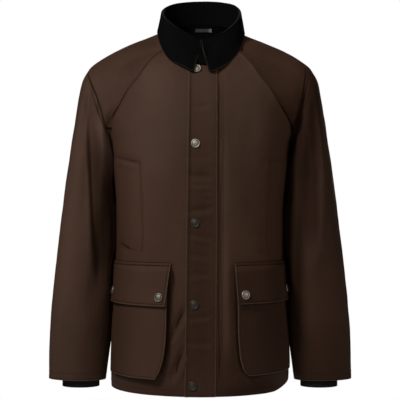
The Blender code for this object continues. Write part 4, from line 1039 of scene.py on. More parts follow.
# A crease whose ridge is LEDGE is a step in the cloth, with one side lower than the other
LEDGE = -1.0
LEDGE_SHARPNESS = 3.0
LEDGE_END_FADE = 4.0
RIDGE_PLACE = 1.7
RIDGE_WIDTH = 0.9
CREASE_END_POWER = 0.6
FACING_GAIN = 2.2
FOLD_MARK_WIDTH = 0.005
FOLD_END_FADE = 9.0
CREASES = {
    ("sleeve_right", "front"): (
        (((-0.238, -0.115), (-0.228, -0.19)), 0.0026, 0.008, 0.5),
        (((-0.26, -0.3), (-0.244, -0.47)), 0.0016, 0.014, 0.4),
        (((-0.205, -0.115), (-0.193, -0.185), (-0.19, -0.24)), -0.012, 0.014),
        (((-0.248, -0.06), (-0.252, -0.26), (-0.284, -0.78)), 0.0, 0.036, 0.0, -0.21),
        (((-0.2085, -0.5324), (-0.2147, -0.43), (-0.2207, -0.2867),
          (-0.227, -0.175)), 0.009, 0.0055, LEDGE, 0.5),
        (((-0.227, -0.16), (-0.2215, -0.2867), (-0.2155, -0.43)), 0.0035, 0.004, 0.3, 0.6),
    ),
    ("sleeve_right", "side"): (
        (((-0.04, -0.17), (0.005, -0.39)), 0.0022, 0.014, 0.45),
    ),
    ("sleeve_right", "back"): (
        (((-0.235, -0.16), (-0.255, -0.46)), 0.004, 0.014, 0.5, 0.1),
        (((-0.215, -0.4), (-0.25, -0.57)), 0.0034, 0.012, 0.5, 0.1),
        (((-0.29, -0.38), (-0.25, -0.43)), 0.0028, 0.008, 0.6, 0.1),
    ),
    ("sleeve_right", "inner"): (
        (((0.024, -0.42), (0.015, -0.65)), -0.004, 0.024),
        (((-0.061, -0.145), (-0.061, -0.285)), -0.015, 0.023),
        (((-0.05, -0.09), (-0.05, -0.22)), 0.0, 0.045, 0.0, -0.22),
        (((-0.055, -0.15), (-0.055, -0.3)), 0.0, 0.04, 0.0, -0.7),
        (((0.03, -0.185), (0.028, -0.33)), -0.008, 0.02),
    ),
    ("sleeve_left", "inner"): (
        (((0.024, -0.42), (0.015, -0.65)), -0.004, 0.024),
        (((-0.03, -0.07), (-0.03, -0.66)), 0.0, 0.07, 0.0, 0.86),
        (((0.03, -0.15), (0.028, -0.33)), -0.011, 0.022),
    ),
    ("sleeve_left", "front"): (
        (((0.208, -0.26), (0.2, -0.45), (0.202, -0.66)), 0.0, 0.015, 0.0, 0.8),
        (((0.217, -0.08), (0.212, -0.17), (0.212, -0.41)), 0.006, 0.024, 0.0, 0.78),
        (((0.25, -0.03), (0.25, -0.75)), 0.0, 0.1, 0.0, 0.2),
        (((0.228, -0.03), (0.23, -0.15), (0.228, -0.29)), 0.0, 0.024, 0.0, 0.8),
        (((0.25, -0.56), (0.25, -0.86)), 0.0, 0.1, 0.0, 0.45),
        (((0.2297, -0.086), (0.238, -0.1433), (0.2441, -0.2457), (0.2435, -0.3788),
          (0.2379, -0.4709)), 0.01, 0.007, LEDGE, 0.55),
        (((0.2215, -0.082), (0.213, -0.125), (0.201, -0.17)), 0.003, 0.0045, 0.4, 0.4),
        (((0.256, -0.13), (0.258, -0.33)), 0.0018, 0.01, 0.5),
        (((0.27, -0.23), (0.262, -0.42)), 0.0022, 0.011, 0.45),
        (((0.264, -0.34), (0.252, -0.52)), 0.0015, 0.014, 0.4),
    ),
    ("front_right", "front"): (
        (((-0.1, -0.05), (-0.1, -0.29)), 0.0, 0.055, 0.0, -0.2),
        (((-0.16, -0.414), (-0.137, -0.4275)), 0.004, 0.0034, 0.5),
        (((-0.174, -0.238), (-0.118, -0.254)), 0.0034, 0.006, 0.6, 0.25),
        (((-0.16, -0.705), (-0.03, -0.705)), 0.0, 0.035, 0.0, 0.3),
        (((-0.164, -0.413), (-0.137, -0.429)), 0.0, 0.0032, 0.0, 0.5),
        (((-0.054, -0.598), (-0.028, -0.537)), 0.0055, 0.006, 0.8, 0.2),
        (((-0.056, -0.68), (-0.03, -0.615)), 0.0055, 0.0065, 0.8, 0.25),
        (((-0.056, -0.34), (-0.05, -0.47)), 0.0014, 0.014, 0.4),
        (((-0.098, -0.15), (-0.086, -0.25)), 0.0014, 0.015, 0.4),
    ),
    ("front_left", "front"): (
        (((0.1, -0.05), (0.1, -0.27)), 0.0, 0.05, 0.0, -0.2),
        (((0.058, -0.4), (0.056, -0.63)), -0.0022, 0.011),
        (((0.173, -0.33), (0.169, -0.42)), 0.0016, 0.005, 0.6, 0.15),
        (((0.11, -0.428), (0.152, -0.44)), 0.0018, 0.0045, 0.6, 0.15),
        (((0.02, -0.705), (0.17, -0.705)), 0.0, 0.035, 0.0, 0.58),
        (((0.052, -0.16), (0.053, -0.66)), -0.0014, 0.01, 0.0, -0.18),
        (((0.02, -0.67), (0.09, -0.665)), 0.0, 0.045, 0.0, 0.34),
        (((0.118, -0.26), (0.16, -0.244)), 0.0016, 0.006, 0.6),
        (((0.0375, -0.71), (0.0412, -0.05)), -0.0005, 0.0012),
        (((0.062, -0.33), (0.056, -0.46)), 0.0014, 0.015, 0.4),
        (((0.105, -0.15), (0.092, -0.26)), 0.0014, 0.015, 0.4),
        (((0.047, -0.56), (0.054, -0.63)), 0.0011, 0.008, 0.5),
    ),
    ("flap_left", "front"): (
        (((0.14, -0.39), (0.14, -0.61)), 0.0, 0.11, 0.0, 0.42),
    ),
    ("bag_left", "front"): (
        (((0.14, -0.36), (0.14, -0.8)), 0.0, 0.11, 0.0, 0.45),
    ),
    ("sleeve_left", "side"): (
        (((-0.02, -0.19), (-0.05, -0.43)), 0.002, 0.014, 0.45),
    ),
    ("sleeve_left", "back"): (
        (((0.236, -0.15), (0.252, -0.43)), 0.004, 0.014, 0.5, 0.1),
        (((0.285, -0.36), (0.248, -0.43)), 0.003, 0.009, 0.6, 0.1),
        (((0.225, -0.45), (0.252, -0.6)), 0.003, 0.012, 0.5, 0.08),
    ),
    ("back", "back"): (
        (((-0.128, -0.15), (-0.112, -0.26), (-0.108, -0.39)), 0.0046, 0.015, 0.5, 0.1),
        (((0.124, -0.16), (0.102, -0.28), (0.096, -0.43)), 0.0042, 0.016, 0.5, 0.1),
        (((-0.048, -0.38), (-0.062, -0.62)), 0.0036, 0.015, 0.5, 0.08),
        (((0.05, -0.42), (0.066, -0.66)), 0.0038, 0.016, 0.5, 0.08),
        (((-0.15, -0.33), (-0.1, -0.43)), 0.003, 0.009, 0.6, 0.1),
        (((0.152, -0.36), (0.112, -0.44)), 0.0028, 0.009, 0.6, 0.1),
        (((0.01, -0.13), (-0.012, -0.27)), 0.0024, 0.018, 0.4, 0.05),
    ),
    ("storm", "front"): (
        (((0.004, -0.19), (-0.002, -0.77)), 0.0, 0.04, 0.0, 0.42),
        (((-0.018, -0.06), (-0.0236, -0.75)), 0.0, 0.0036, 0.0, 0.56),
        (((-0.02, -0.244), (0.03, -0.242)), 0.0013, 0.0065, 0.4, 0.1),
        (((-0.026, -0.2795), (0.034, -0.283)), 0.0028, 0.007, 0.5, 0.22),
        (((-0.024, -0.303), (0.03, -0.306)), -0.0017, 0.0036, 0.0, -0.14),
        (((0.008, -0.313), (0.036, -0.315)), 0.0018, 0.0032, 0.6, 0.2),
        (((0.011, -0.329), (0.036, -0.3265)), 0.0014, 0.0034, 0.6, 0.16),
        (((-0.024, -0.35), (0.033, -0.344)), 0.0024, 0.0066, 0.5, 0.24),
        (((-0.024, -0.395), (0.02, -0.402)), 0.0018, 0.0055, 0.7),
        (((-0.02, -0.56), (0.028, -0.554)), 0.002, 0.0055, 0.7),
        (((-0.02, -0.145), (0.028, -0.142)), 0.0014, 0.0055, 0.7),
        (((-0.024, -0.435), (0.025, -0.44)), 0.0016, 0.006, 0.7),
        (((-0.024, -0.475), (0.028, -0.472)), 0.0015, 0.0055, 0.7),
        (((-0.026, -0.605), (0.024, -0.61)), 0.0018, 0.006, 0.7),
    ),
}

# Sharp fold lines, each with its strength: along each one the material paints a dark line of shade
# Beside the pockets' standing sides and the storm flap's sewn edge, that dark line is their painted shadow
SHADED_FOLD_LINES = {
    "sleeve_right": (
        (((-0.237, -0.056), (-0.2314, -0.068), (-0.2118, -0.1133), (-0.2015, -0.1442),
          (-0.1933, -0.173), (-0.1842, -0.204)), 1.0),
    ),
    "sleeve_left": (
        (((0.2205, -0.048), (0.2188, -0.0597), (0.2085, -0.1215), (0.1941, -0.171),
          (0.1838, -0.2122)), 1.0),
        (((0.233, -0.076), (0.224, -0.106), (0.213, -0.142)), 0.6),
    ),
    "front_right": (
        (((-0.174, -0.238), (-0.15, -0.246), (-0.121, -0.253)), 0.35),
        (((-0.16, -0.415), (-0.1381, -0.4273)), 0.7),
        (((-0.059, -0.46), (-0.061, -0.54), (-0.064, -0.615), (-0.07, -0.65), (-0.0775, -0.67),
          (-0.086, -0.684)), 0.75),
        (((-0.032, -0.5476), (-0.041, -0.565), (-0.0468, -0.58)), 0.85),
        (((-0.035, -0.6282), (-0.043, -0.648), (-0.0477, -0.6694)), 0.9),
    ),
    "front_left": (
        (((0.044, -0.72), (0.048, -0.05)), 0.22), (((0.0372, -0.72), (0.0382, -0.04)), 0.8),
        (((0.0695, -0.46), (0.0705, -0.536), (0.0722, -0.612), (0.0765, -0.646), (0.0835, -0.666),
          (0.095, -0.678)), 0.6),
    ),
}


def beside_line(line, across, height):
    """Distance from a line of points, signed by its side, and the share of the way along it."""
    whole = sum(math.dist(start, end) for start, end in zip(line, line[1:]))
    beside = np.full(across.shape, FAR)
    share = np.zeros(across.shape)
    passed = 0.0
    for start, end in zip(line, line[1:]):
        length = math.dist(start, end)
        way = ((end[0] - start[0]) / length, (end[1] - start[1]) / length)
        out = across - start[0]
        up = height - start[1]
        along = np.clip(out * way[0] + up * way[1], 0.0, length)
        distance = np.hypot(out - way[0] * along, up - way[1] * along)
        side = np.where(out * way[1] - up * way[0] < 0.0, -1.0, 1.0)
        closer = distance < np.abs(beside)
        beside = np.where(closer, side * distance, beside)
        share = np.where(closer, (passed + along) / whole, share)
        passed += length
    return beside, share


def facing(face, cloth):
    """How squarely each point looks to one side of the garment, from 0 to 1."""
    outward = cloth.normals[..., 0] * np.sign(cloth.points[..., 0])
    behind = cloth.normals[..., 1]
    shares = {"front": -behind, "back": behind, "side": outward, "inner": -outward}
    return np.clip(shares[face] * FACING_GAIN, 0.0, 1.0)


def end_fade(share, steepness):
    """0 at both ends of a line, 1 along the rest of it."""
    return np.clip(steepness * share, 0.0, 1.0) * np.clip(steepness * (1.0 - share), 0.0, 1.0)


def crease_shift(crease, face, cloth):
    """How one crease moves every point, and its painted shade: a trough with a ridge beside it, or a ledge.
    """
    x, y, z = (cloth.points[..., axis] for axis in range(3))
    beside, share = beside_line(crease.line, y if face in ("side", "inner") else x, z)
    reach = beside / crease.width
    if crease.ridge == LEDGE:
        trough = 1.0 / (1.0 + np.exp(np.clip(-LEDGE_SHARPNESS * reach, -60.0, 60.0)))
        ridge = 0.0
        ends = soft_step(end_fade(share, LEDGE_END_FADE))
    else:
        trough = np.exp(-reach ** 2)
        ridge = crease.ridge * np.exp(-((reach - RIDGE_PLACE) / RIDGE_WIDTH) ** 2)
        ends = np.sin(np.pi * np.clip(share * 0.92 + 0.04, 0.0, 1.0)) ** CREASE_END_POWER
    ends = ends * facing(face, cloth)
    heights = crease.depth * (ridge - trough) * ends
    none = np.zeros_like(x)
    ways = {"front": (none, none - 1.0), "back": (none, none + 1.0), "side": (np.sign(x), none),
            "inner": (-np.sign(x), none)}
    out, deep = ways[face]
    return np.stack([out * heights, deep * heights, none], axis=-1), crease.shade * trough * ends


def fold_marks(piece, cloth):
    """Distance from the piece's nearest sharp fold line and that line's strength, for the material's painted
    shade line.
    """
    nearest = np.full(cloth.points.shape[:2], FAR)
    strength = np.zeros(nearest.shape)
    for line, most in SHADED_FOLD_LINES.get(piece, ()):
        beside, share = beside_line(line, cloth.points[..., 0], cloth.points[..., 2])
        near = np.clip(3.0 - np.abs(beside) / FOLD_MARK_WIDTH, 0.0, 1.0)
        closer = np.abs(beside) < np.abs(nearest)
        nearest = np.where(closer, beside, nearest)
        kept = most * end_fade(share, FOLD_END_FADE) * near * facing("front", cloth)
        strength = np.where(closer, kept, strength)
    return {"fold_distance": nearest, "fold_strength": strength}


print("creases:", sum(len(rows) for rows in CREASES.values()))

# %% Creased cloth
SEAM_GROOVE = 0.0011
SEAM_RIDGE = 0.0005
SEAM_FADE = 0.022
SEAM_FADE_POWER = 1.5
SEAM_RIDGE_PLACE = 0.0045
SEAM_RIDGE_WIDTH = 0.003
SEAM_GROOVE_WIDTH = 0.0012
STORM_CALM_HALF = 0.034
STORM_CALM_FADE = 0.022
LEAST_MOVEMENT = 0.25
NOISE_WAVES = ((9.0, 0.0016), (23.0, 0.0008), (52.0, 0.0003))


def seam_relief(edge):
    """A sewn edge sinks into its seam, and the cloth folded under it stands up just beside the seam."""
    ridge = SEAM_RIDGE * np.exp(-((edge - SEAM_RIDGE_PLACE) / SEAM_RIDGE_WIDTH) ** 2)
    return ridge - SEAM_GROOVE * np.exp(-(edge / SEAM_GROOVE_WIDTH) ** 2)


def soft_noise(points, seed):
    """Smooth uneven heights over a surface, the same on every run."""
    heights = np.zeros(points.shape[:2])
    for index in np.ndindex(heights.shape):
        for size, height in NOISE_WAVES:
            place = Vector(points[index]) * size + Vector((seed, 2.0 * seed, 0.0))
            heights[index] += height * noise.noise(place)
    return heights


def crease_moves(cloth, piece):
    """How far the piece's creases move each point of a cloth, and the painted shade and painted light they
    give it.
    """
    shift = np.zeros_like(cloth.points)
    shade = np.zeros(cloth.points.shape[:2])
    # pale carries the painted light of the creases whose shade is negative
    pale = shade
    for (owner, face), rows in CREASES.items():
        for values in rows if owner == piece else ():
            moved, dark = crease_shift(Crease(*values), face, cloth)
            shift += moved
            shade = np.maximum(shade, dark)
            pale = np.maximum(pale, -dark)
    return shift, {"fold_shade": shade, "fold_pale": pale, **fold_marks(piece, cloth)}


def creased(cloth, piece, seed, calm=1.0):
    """The cloth with its creases. calm is 0 where the cloth must stay still and 1 where it may move."""
    shift, marks = crease_moves(cloth, piece)
    shift += cloth.normals * (soft_noise(cloth.points, seed) * calm)[..., None]
    fade = np.clip(cloth.seam / SEAM_FADE, 0.0, 1.0) ** SEAM_FADE_POWER
    points = cloth.points + shift * fade[..., None] + cloth.normals * seam_relief(cloth.seam)[..., None]
    normals = grid_normals(points, cloth.wrapped, lambda grid: cloth.normals)
    return cloth._replace(points=points, normals=normals, marks=marks)


def calm_under_storm_flap(cloth):
    return soft_step((np.abs(cloth.points[..., 0]) - STORM_CALM_HALF) / STORM_CALM_FADE)


def calm_at_body(cloth, size):
    """Less movement on the side of the sleeve that lies against the body."""
    return LEAST_MOVEMENT + (1.0 - LEAST_MOVEMENT) * np.sin(np.pi * cloth.columns / size)[None] ** 2


fronts = [
    creased(cloth, name, seed, calm_under_storm_flap(cloth))
    for cloth, name, seed in zip(bare_fronts, ("front_right", "front_left"), (1.3, 4.1))
]
back = creased(bare_back, "back", 7.7)
sleeves = [
    creased(cloth, name, seed, calm_at_body(cloth, sheet.points.shape[1]))
    for cloth, name, seed, sheet in zip(bare_sleeves, ("sleeve_right", "sleeve_left"), (11.2, 15.9), pressed)
]


def laid_read(side, row, column):
    """A point of a creased front, with the direction of the plain front, for what is sewn onto it."""
    index = 0 if side < 0 else 1
    return read_cloth(fronts[index], row, column)[0], read_cloth(bare_fronts[index], row, column)[1]


print("creased panels:", len(fronts) + len(sleeves) + 1)

# %% [markdown]
# Materials: the shared effects
#
# Waxed cotton, cord, knit and lining are all threads, so one node group makes a weave from two sets of
# threads. A second group makes the slow blotches that wax and wear leave on cloth. Each puts out masks and
# heights only, and the shader that uses them stays in the material.

# %% Small node helpers
class Number:
    """A node's output that can be used in sums. Each sum adds one math node to the same tree."""

    def __init__(self, socket):
        self.socket = socket

    def join(self, operation, first, second=0.0):
        node = add_node(self.socket.id_data, "ShaderNodeMath", {0: first, 1: second}, operation=operation)
        return Number(node.outputs[0])

    def __add__(self, other):
        return self.join("ADD", self, other)

    def __rsub__(self, other):
        return self.join("SUBTRACT", other, self)

    def __sub__(self, other):
        return self.join("SUBTRACT", self, other)

    def __mul__(self, other):
        return self.join("MULTIPLY", self, other)

    def __truediv__(self, other):
        return self.join("DIVIDE", self, other)

    def most(self, other):
        return self.join("MAXIMUM", self, other)

    def sine(self):
        return self.join("SINE", self)

    def size(self):
        return self.join("ABSOLUTE", self)

    def clamped(self):
        """The same number, kept between 0 and 1."""
        self.socket.node.use_clamp = True
        return self


def numbers(sockets):
    return {socket.name: Number(socket) for socket in sockets}


def cloud(tree, place, scale, detail, distortion=0.0):
    """A noise texture's value."""
    inputs = {"Vector": place, "Scale": scale, "Detail": detail, "Distortion": distortion}
    return Number(add_node(tree, "ShaderNodeTexNoise", inputs).outputs["Fac"])


def split_place(tree, place):
    return numbers(add_node(tree, "ShaderNodeSeparateXYZ", {"Vector": place}).outputs)


def mix_colour(tree, share, first, second):
    return add_node(tree, "ShaderNodeMix", {0: share, 6: first, 7: second}, data_type="RGBA").outputs[2]


def new_group(name, inputs, outputs):
    """A shader node group. An input without a value is a vector, and all the others are numbers."""
    group = bpy.data.node_groups.new(name, "ShaderNodeTree")
    for label, value in inputs.items():
        kind = "NodeSocketVector" if value is None else "NodeSocketFloat"
        socket = group.interface.new_socket(name=label, in_out="INPUT", socket_type=kind)
        if value is not None:
            socket.default_value = value
    for label in outputs:
        group.interface.new_socket(name=label, in_out="OUTPUT", socket_type="NodeSocketFloat")
    return group, numbers(group.nodes.new("NodeGroupInput").outputs)


print("node helpers ready")

# %% Weave group
def make_weave_group():
    """Crossing threads: a height, and a mask of the threads that lie on top."""
    inputs = {"Vector": None, "Threads per metre": 1400.0, "Unevenness": 0.35}
    group, given = new_group("crossing_threads", inputs, ("Height", "Mask"))
    place = split_place(group, given["Vector"])
    waves = []
    for along, across in (("X", "Y"), ("Y", "X")):
        turn = place[along] * given["Threads per metre"] * (2.0 * math.pi)
        over = place[across] * given["Threads per metre"] * math.pi
        waves.append(turn.sine() * over.sine())
    uneven = cloud(group, given["Vector"], 420.0, 3.0) * given["Unevenness"]
    height = waves[0].most(waves[1]) * 0.5 + uneven
    add_node(group, "NodeGroupOutput", {"Height": height, "Mask": (uneven * 2.0).clamped()})
    return group


weave_group = make_weave_group()
print("group:", weave_group.name)

# %% Wax and wear group
PALE_EDGE_WIDTH = 0.0020
DARK_LINE_INSET = 0.0036
DARK_LINE_WIDTH = 0.0015
SEAM_LINE_WIDTH = 0.0025


def make_wax_group():
    """Slow blotches of wax, dark lines along sewn edges, and pale edges that are partly rubbed wear and
    partly painted highlight.
    """
    inputs = {"Object place": None, "Edge distance": 0.1, "Seam distance": 0.1, "Blotch size": 7.0}
    outputs = ("Blotch", "Speckle", "Worn and lit edge", "Dark line", "Crumple")
    group, given = new_group("wax_and_wear", inputs, outputs)
    place = given["Object place"]
    edge = given["Edge distance"]
    longer = {"Vector": place, "Scale": (1.0, 1.0, 0.5)}
    hanging = add_node(group, "ShaderNodeMapping", longer).outputs["Vector"]
    speckle = cloud(group, place, 210.0, 5.0)
    near = (1.0 - edge / PALE_EDGE_WIDTH).clamped()
    line = (1.0 - (edge - DARK_LINE_INSET).size() / DARK_LINE_WIDTH).clamped() * 0.50
    seam = (1.0 - given["Seam distance"] / SEAM_LINE_WIDTH).clamped()
    add_node(group, "NodeGroupOutput", {
        "Blotch": ((cloud(group, hanging, given["Blotch size"], 4.0) - 0.36) * 3.4).clamped(),
        "Speckle": speckle,
        "Worn and lit edge": (near * (speckle * 1.3)).clamped(),
        "Dark line": line.most(seam),
        "Crumple": cloud(group, place, 38.0, 6.0, 0.6),
    })
    return group


wax_group = make_wax_group()
print("group:", wax_group.name)

# %% [markdown]
# Waxed cotton
#
# The real cloth is a tight cotton weave soaked in wax: dull brown, with a faint greasy sheen. Colour and
# roughness follow the wax blotches. The bump adds the weave and the fine crumple that waxed cloth keeps.
# Edges get a pale line, partly rubbed wear and partly painted highlight, with a darker stitched line inside
# it. The creases paint shade into the colour, and paint light where the cloth is lit.

# %% Waxed cotton material
def new_material(name, roughness, gloss=0.2, sheen=0.0):
    material = bpy.data.materials.new(name)
    material.use_nodes = True
    shader = material.node_tree.nodes["Principled BSDF"]
    plug(shader, {"Roughness": roughness, "Specular IOR Level": gloss})
    plug(shader, {"Sheen Weight": sheen, "Sheen Roughness": 0.45})
    return material, material.node_tree, shader


def read_mark(tree, name):
    """A number that is stored at each point of the mesh."""
    return Number(add_node(tree, "ShaderNodeAttribute", attribute_name=name).outputs["Fac"])


def cloth_map_place(tree):
    """The cloth's own UV map, in metres."""
    return add_node(tree, "ShaderNodeUVMap", uv_map="cloth").outputs["UV"]


def object_place(tree):
    return tree.nodes.new("ShaderNodeTexCoord").outputs["Object"]


def use_group(tree, group, inputs):
    return numbers(add_node(tree, "ShaderNodeGroup", inputs, node_tree=group).outputs)


def use_wax(tree, blotch_size):
    return use_group(tree, wax_group, {
        "Object place": object_place(tree), "Edge distance": read_mark(tree, "edge_distance"),
        "Seam distance": read_mark(tree, "seam_distance"), "Blotch size": blotch_size,
    })


def bump(shader, *layers):
    """Bump nodes in a chain, one for each height and its distance in metres."""
    normal = None
    for height, distance in layers:
        inputs = {"Strength": 1.0, "Distance": distance, "Height": height}
        node = add_node(shader.id_data, "ShaderNodeBump", inputs)
        if normal is not None:
            plug(node, {"Normal": normal})
        normal = node.outputs["Normal"]
    plug(shader, {"Normal": normal})


WAXED_DARK = (0.035, 0.0160, 0.0084, 1.0)
WAXED_BROWN = (0.069, 0.0320, 0.0184, 1.0)
# The pale colour serves rubbed wear and painted light; the line colour serves dark stitched lines and painted
# shade
WAXED_WORN_AND_LIT = (0.150, 0.090, 0.066, 1.0)
WAXED_LINE_AND_SHADE = (0.012, 0.0050, 0.0026, 1.0)
WAXED_SHEEN = (0.62, 0.42, 0.32, 1.0)
WAXED_GLOSS = 0.15
FOLD_LINE_HALF_WIDTH = 0.0023


def make_waxed_cotton():
    material, tree, shader = new_material("waxed_cotton_cloth", 0.6, sheen=0.02)
    weave = {"Vector": cloth_map_place(tree), "Threads per metre": 1500.0, "Unevenness": 0.5}
    threads = use_group(tree, weave_group, weave)
    wax = use_wax(tree, 6.5)
    tone = (wax["Blotch"] * 0.55 + wax["Speckle"] * 0.5).clamped()
    tone = (tone + threads["Mask"] * 0.12).clamped()
    # Along each sharp fold a dark line of painted shade, which also sinks a fine groove in the bump
    fold = (1.0 - read_mark(tree, "fold_distance").size() / FOLD_LINE_HALF_WIDTH).clamped()
    fold = fold * read_mark(tree, "fold_strength")
    shade = read_mark(tree, "fold_shade")
    # line: the painted shade of the folds, together with the dark stitched lines of the seams
    line = fold.most(wax["Dark line"] * 0.95)
    colour = mix_colour(tree, tone, WAXED_DARK, WAXED_BROWN)
    # Painted light and painted shade from the creases, then the dark lines, then the pale edges of wear and
    # painted highlight
    colour = mix_colour(tree, read_mark(tree, "fold_pale"), colour, WAXED_WORN_AND_LIT)
    colour = mix_colour(tree, shade, colour, WAXED_LINE_AND_SHADE)
    colour = mix_colour(tree, line, colour, WAXED_LINE_AND_SHADE)
    colour = mix_colour(tree, wax["Worn and lit edge"] * 0.75, colour, WAXED_WORN_AND_LIT)
    # Painted shade and dark lines lose their gloss, so no highlight shows on them
    gloss = (1.0 - shade.most(line)).clamped() * WAXED_GLOSS
    roughness = wax["Blotch"] * 0.14 + 0.50
    plug(shader, {"Base Color": colour, "Roughness": roughness, "Specular IOR Level": gloss})
    plug(shader, {"Sheen Tint": WAXED_SHEEN})
    bump(shader, (wax["Crumple"], 0.0011), (threads["Height"], 0.00022), (fold * -1.0, 0.0012))
    return material


waxed_cotton = make_waxed_cotton()
print("material:", waxed_cotton.name)

# %% [markdown]
# Cord, knit, lining and thread
#
# Cord cloth has raised wales, made as a wave across the collar. The knitted cuffs have their ribs in the
# mesh, so their material adds the small stitches. The lining is a plain dark weave. All are nearly black.

# %% Cord cloth and knit
CORD_PITCH = 0.0024
CORD_BLACK = (0.0008, 0.0008, 0.0009, 1.0)
CORD_WORN = (0.0048, 0.0047, 0.0044, 1.0)
CORD_WORN_AND_LIT = (0.0620, 0.0590, 0.0540, 1.0)
KNIT_STITCH = 0.0018
KNIT_BLACK = (0.0110, 0.0106, 0.0100, 1.0)
KNIT_WORN = (0.0480, 0.0450, 0.0410, 1.0)


def make_cord_cloth():
    material, tree, shader = new_material("cord_cloth_pile", 0.85, 0.04)
    across = split_place(tree, cloth_map_place(tree))["X"]
    wale = (across * (2.0 * math.pi / CORD_PITCH)).sine() * 0.5 + 0.5
    wax = use_wax(tree, 16.0)
    # Along the roll the cord is paler: partly rubbed wear, partly a painted highlight on the fold
    roll = (1.0 - read_mark(tree, "seam_distance") / 0.0030).clamped()
    roll_wear_and_highlight = (roll * wax["Speckle"] * 0.8).most(wax["Worn and lit edge"] * 0.5)
    colour = mix_colour(tree, (wale * wax["Speckle"] * 1.5).clamped(), CORD_BLACK, CORD_WORN)
    colour = mix_colour(tree, roll_wear_and_highlight, colour, CORD_WORN_AND_LIT)
    plug(shader, {"Base Color": colour, "Roughness": wale * -0.12 + 0.92})
    bump(shader, (wax["Crumple"], 0.0008), (wale, 0.0005))
    return material


def make_knit():
    material, tree, shader = new_material("knitted_rib_wool", 0.9, 0.08)
    place = split_place(tree, cloth_map_place(tree))
    lean = (place["X"] * (2.0 * math.pi / KNIT_STITCH)).sine() * (0.35 * KNIT_STITCH)
    loop = ((place["Y"] + lean) * (2.0 * math.pi / KNIT_STITCH)).sine() * 0.5 + 0.5
    worn = (loop * use_wax(tree, 30.0)["Speckle"]).clamped()
    colour = mix_colour(tree, worn, KNIT_BLACK, KNIT_WORN)
    plug(shader, {"Base Color": colour, "Roughness": loop * -0.1 + 0.95})
    bump(shader, (loop, 0.0005))
    return material


cord_cloth = make_cord_cloth()
knit = make_knit()
print("materials:", cord_cloth.name, knit.name)

# %% Lining, label and thread
BAR_BRIGHT = (0.42, 0.42, 0.41, 1.0)
BAR_BRIGHT_FROM = 0.017
BAR_BRIGHT_TO = 0.026
WovenFinish = namedtuple("WovenFinish", "name dark pale threads roughness")
WOVEN_FINISHES = table_of(
    WovenFinish,
    ("lining_weave", (0.0025, 0.0020, 0.0018, 1.0), (0.0070, 0.0055, 0.0048, 1.0), 900.0, 0.75),
    ("facing_weave", (0.0012, 0.0012, 0.0013, 1.0), (0.0040, 0.0040, 0.0042, 1.0), 1100.0, 0.80),
    ("label_weave", (0.0350, 0.0350, 0.0340, 1.0), (0.0950, 0.0950, 0.0920, 1.0), 1600.0, 0.65),
    ("stitch_thread", (0.0260, 0.0130, 0.0085, 1.0), (0.0520, 0.0280, 0.0190, 1.0), 2600.0, 0.55),
)


def make_woven(finish):
    material, tree, shader = new_material(finish.name, finish.roughness, 0.06)
    source = object_place(tree) if finish.name == "stitch_thread" else cloth_map_place(tree)
    weave = {"Vector": source, "Threads per metre": finish.threads, "Unevenness": 0.6}
    threads = use_group(tree, weave_group, weave)
    colour = mix_colour(tree, threads["Mask"], finish.dark, finish.pale)
    if finish.name == "label_weave":
        across = split_place(tree, object_place(tree))["X"]
        reach = {"Value": across, "From Min": BAR_BRIGHT_FROM, "From Max": BAR_BRIGHT_TO}
        share = add_node(tree, "ShaderNodeMapRange", reach).outputs["Result"]
        colour = mix_colour(tree, share, colour, BAR_BRIGHT)
    plug(shader, {"Base Color": colour, "Roughness": threads["Mask"] * 0.1 + (finish.roughness - 0.05)})
    bump(shader, (threads["Height"], 0.0002))
    return material


woven = {finish.name: make_woven(finish) for finish in WOVEN_FINISHES}
print("woven materials:", len(woven))

# %% [markdown]
# Antique silver
#
# The snap caps are plated brass with a brushed, slightly tarnished face. The tarnish gathers in the groove
# inside the rim, and the metal is rougher there. The lower caps on the storm flap are darker, and the caps on
# the wearer's right pocket a little darker.

# %% Snap metal
SILVER_BRIGHT = (0.46, 0.415, 0.365, 1.0)
SILVER_DULL = (0.085, 0.078, 0.066, 1.0)
TARNISH = (0.035, 0.030, 0.024, 1.0)


def make_snap_metal(name, shine):
    """shine runs from 0 for a dark cap to 1 for a bright one."""
    material, tree, shader = new_material(name, 0.4)
    tone = tuple(dull + (bright - dull) * shine for dull, bright in zip(SILVER_DULL, SILVER_BRIGHT))
    place = object_place(tree)
    spots = ((cloud(tree, place, 520.0, 4.0) - 0.45) * 1.6).clamped()
    dirt = (spots * 0.5 + read_mark(tree, "tarnish")).clamped()
    colour = mix_colour(tree, dirt, tone, TARNISH)
    plug(shader, {"Base Color": colour, "Roughness": dirt * 0.25 + 0.50, "Metallic": 1.0})
    bump(shader, (cloud(tree, place, 2400.0, 2.0), 0.00005))
    return material


bright_snap = make_snap_metal("snap_metal_bright", 1.0)
mid_snap = make_snap_metal("snap_metal_mid", 0.38)
dark_snap = make_snap_metal("snap_metal_dark", 0.0)
print("snap metals:", bright_snap.name, dark_snap.name)

# %% Shell builder
SHARP = math.radians(55.0)


def shell_faces(rows, columns, wrapped):
    """Outer faces, inner faces and rim faces of a closed shell, as corner numbers."""
    count = rows * columns
    spans = columns if wrapped else columns - 1
    row, column = np.meshgrid(np.arange(rows - 1), np.arange(spans), indexing="ij")
    a = (row * columns + column).ravel()
    b = (row * columns + (column + 1) % columns).ravel()
    c = b + columns
    d = a + columns
    outer = np.stack([a, b, c, d], axis=1)
    inner = outer[:, ::-1] + count
    rim = []
    for step in range(spans):
        after = (step + 1) % columns
        rim.append((step + count, after + count, after, step))
        high = (rows - 1) * columns
        rim.append((high + step, high + after, high + after + count, high + step + count))
    if not wrapped:
        for step in range(rows - 1):
            low = step * columns
            rim.append((low + columns + count, low + count, low, low + columns))
            high = low + columns - 1
            rim.append((high + count, high + columns + count, high + columns, high))
    return outer, inner, np.array(rim)


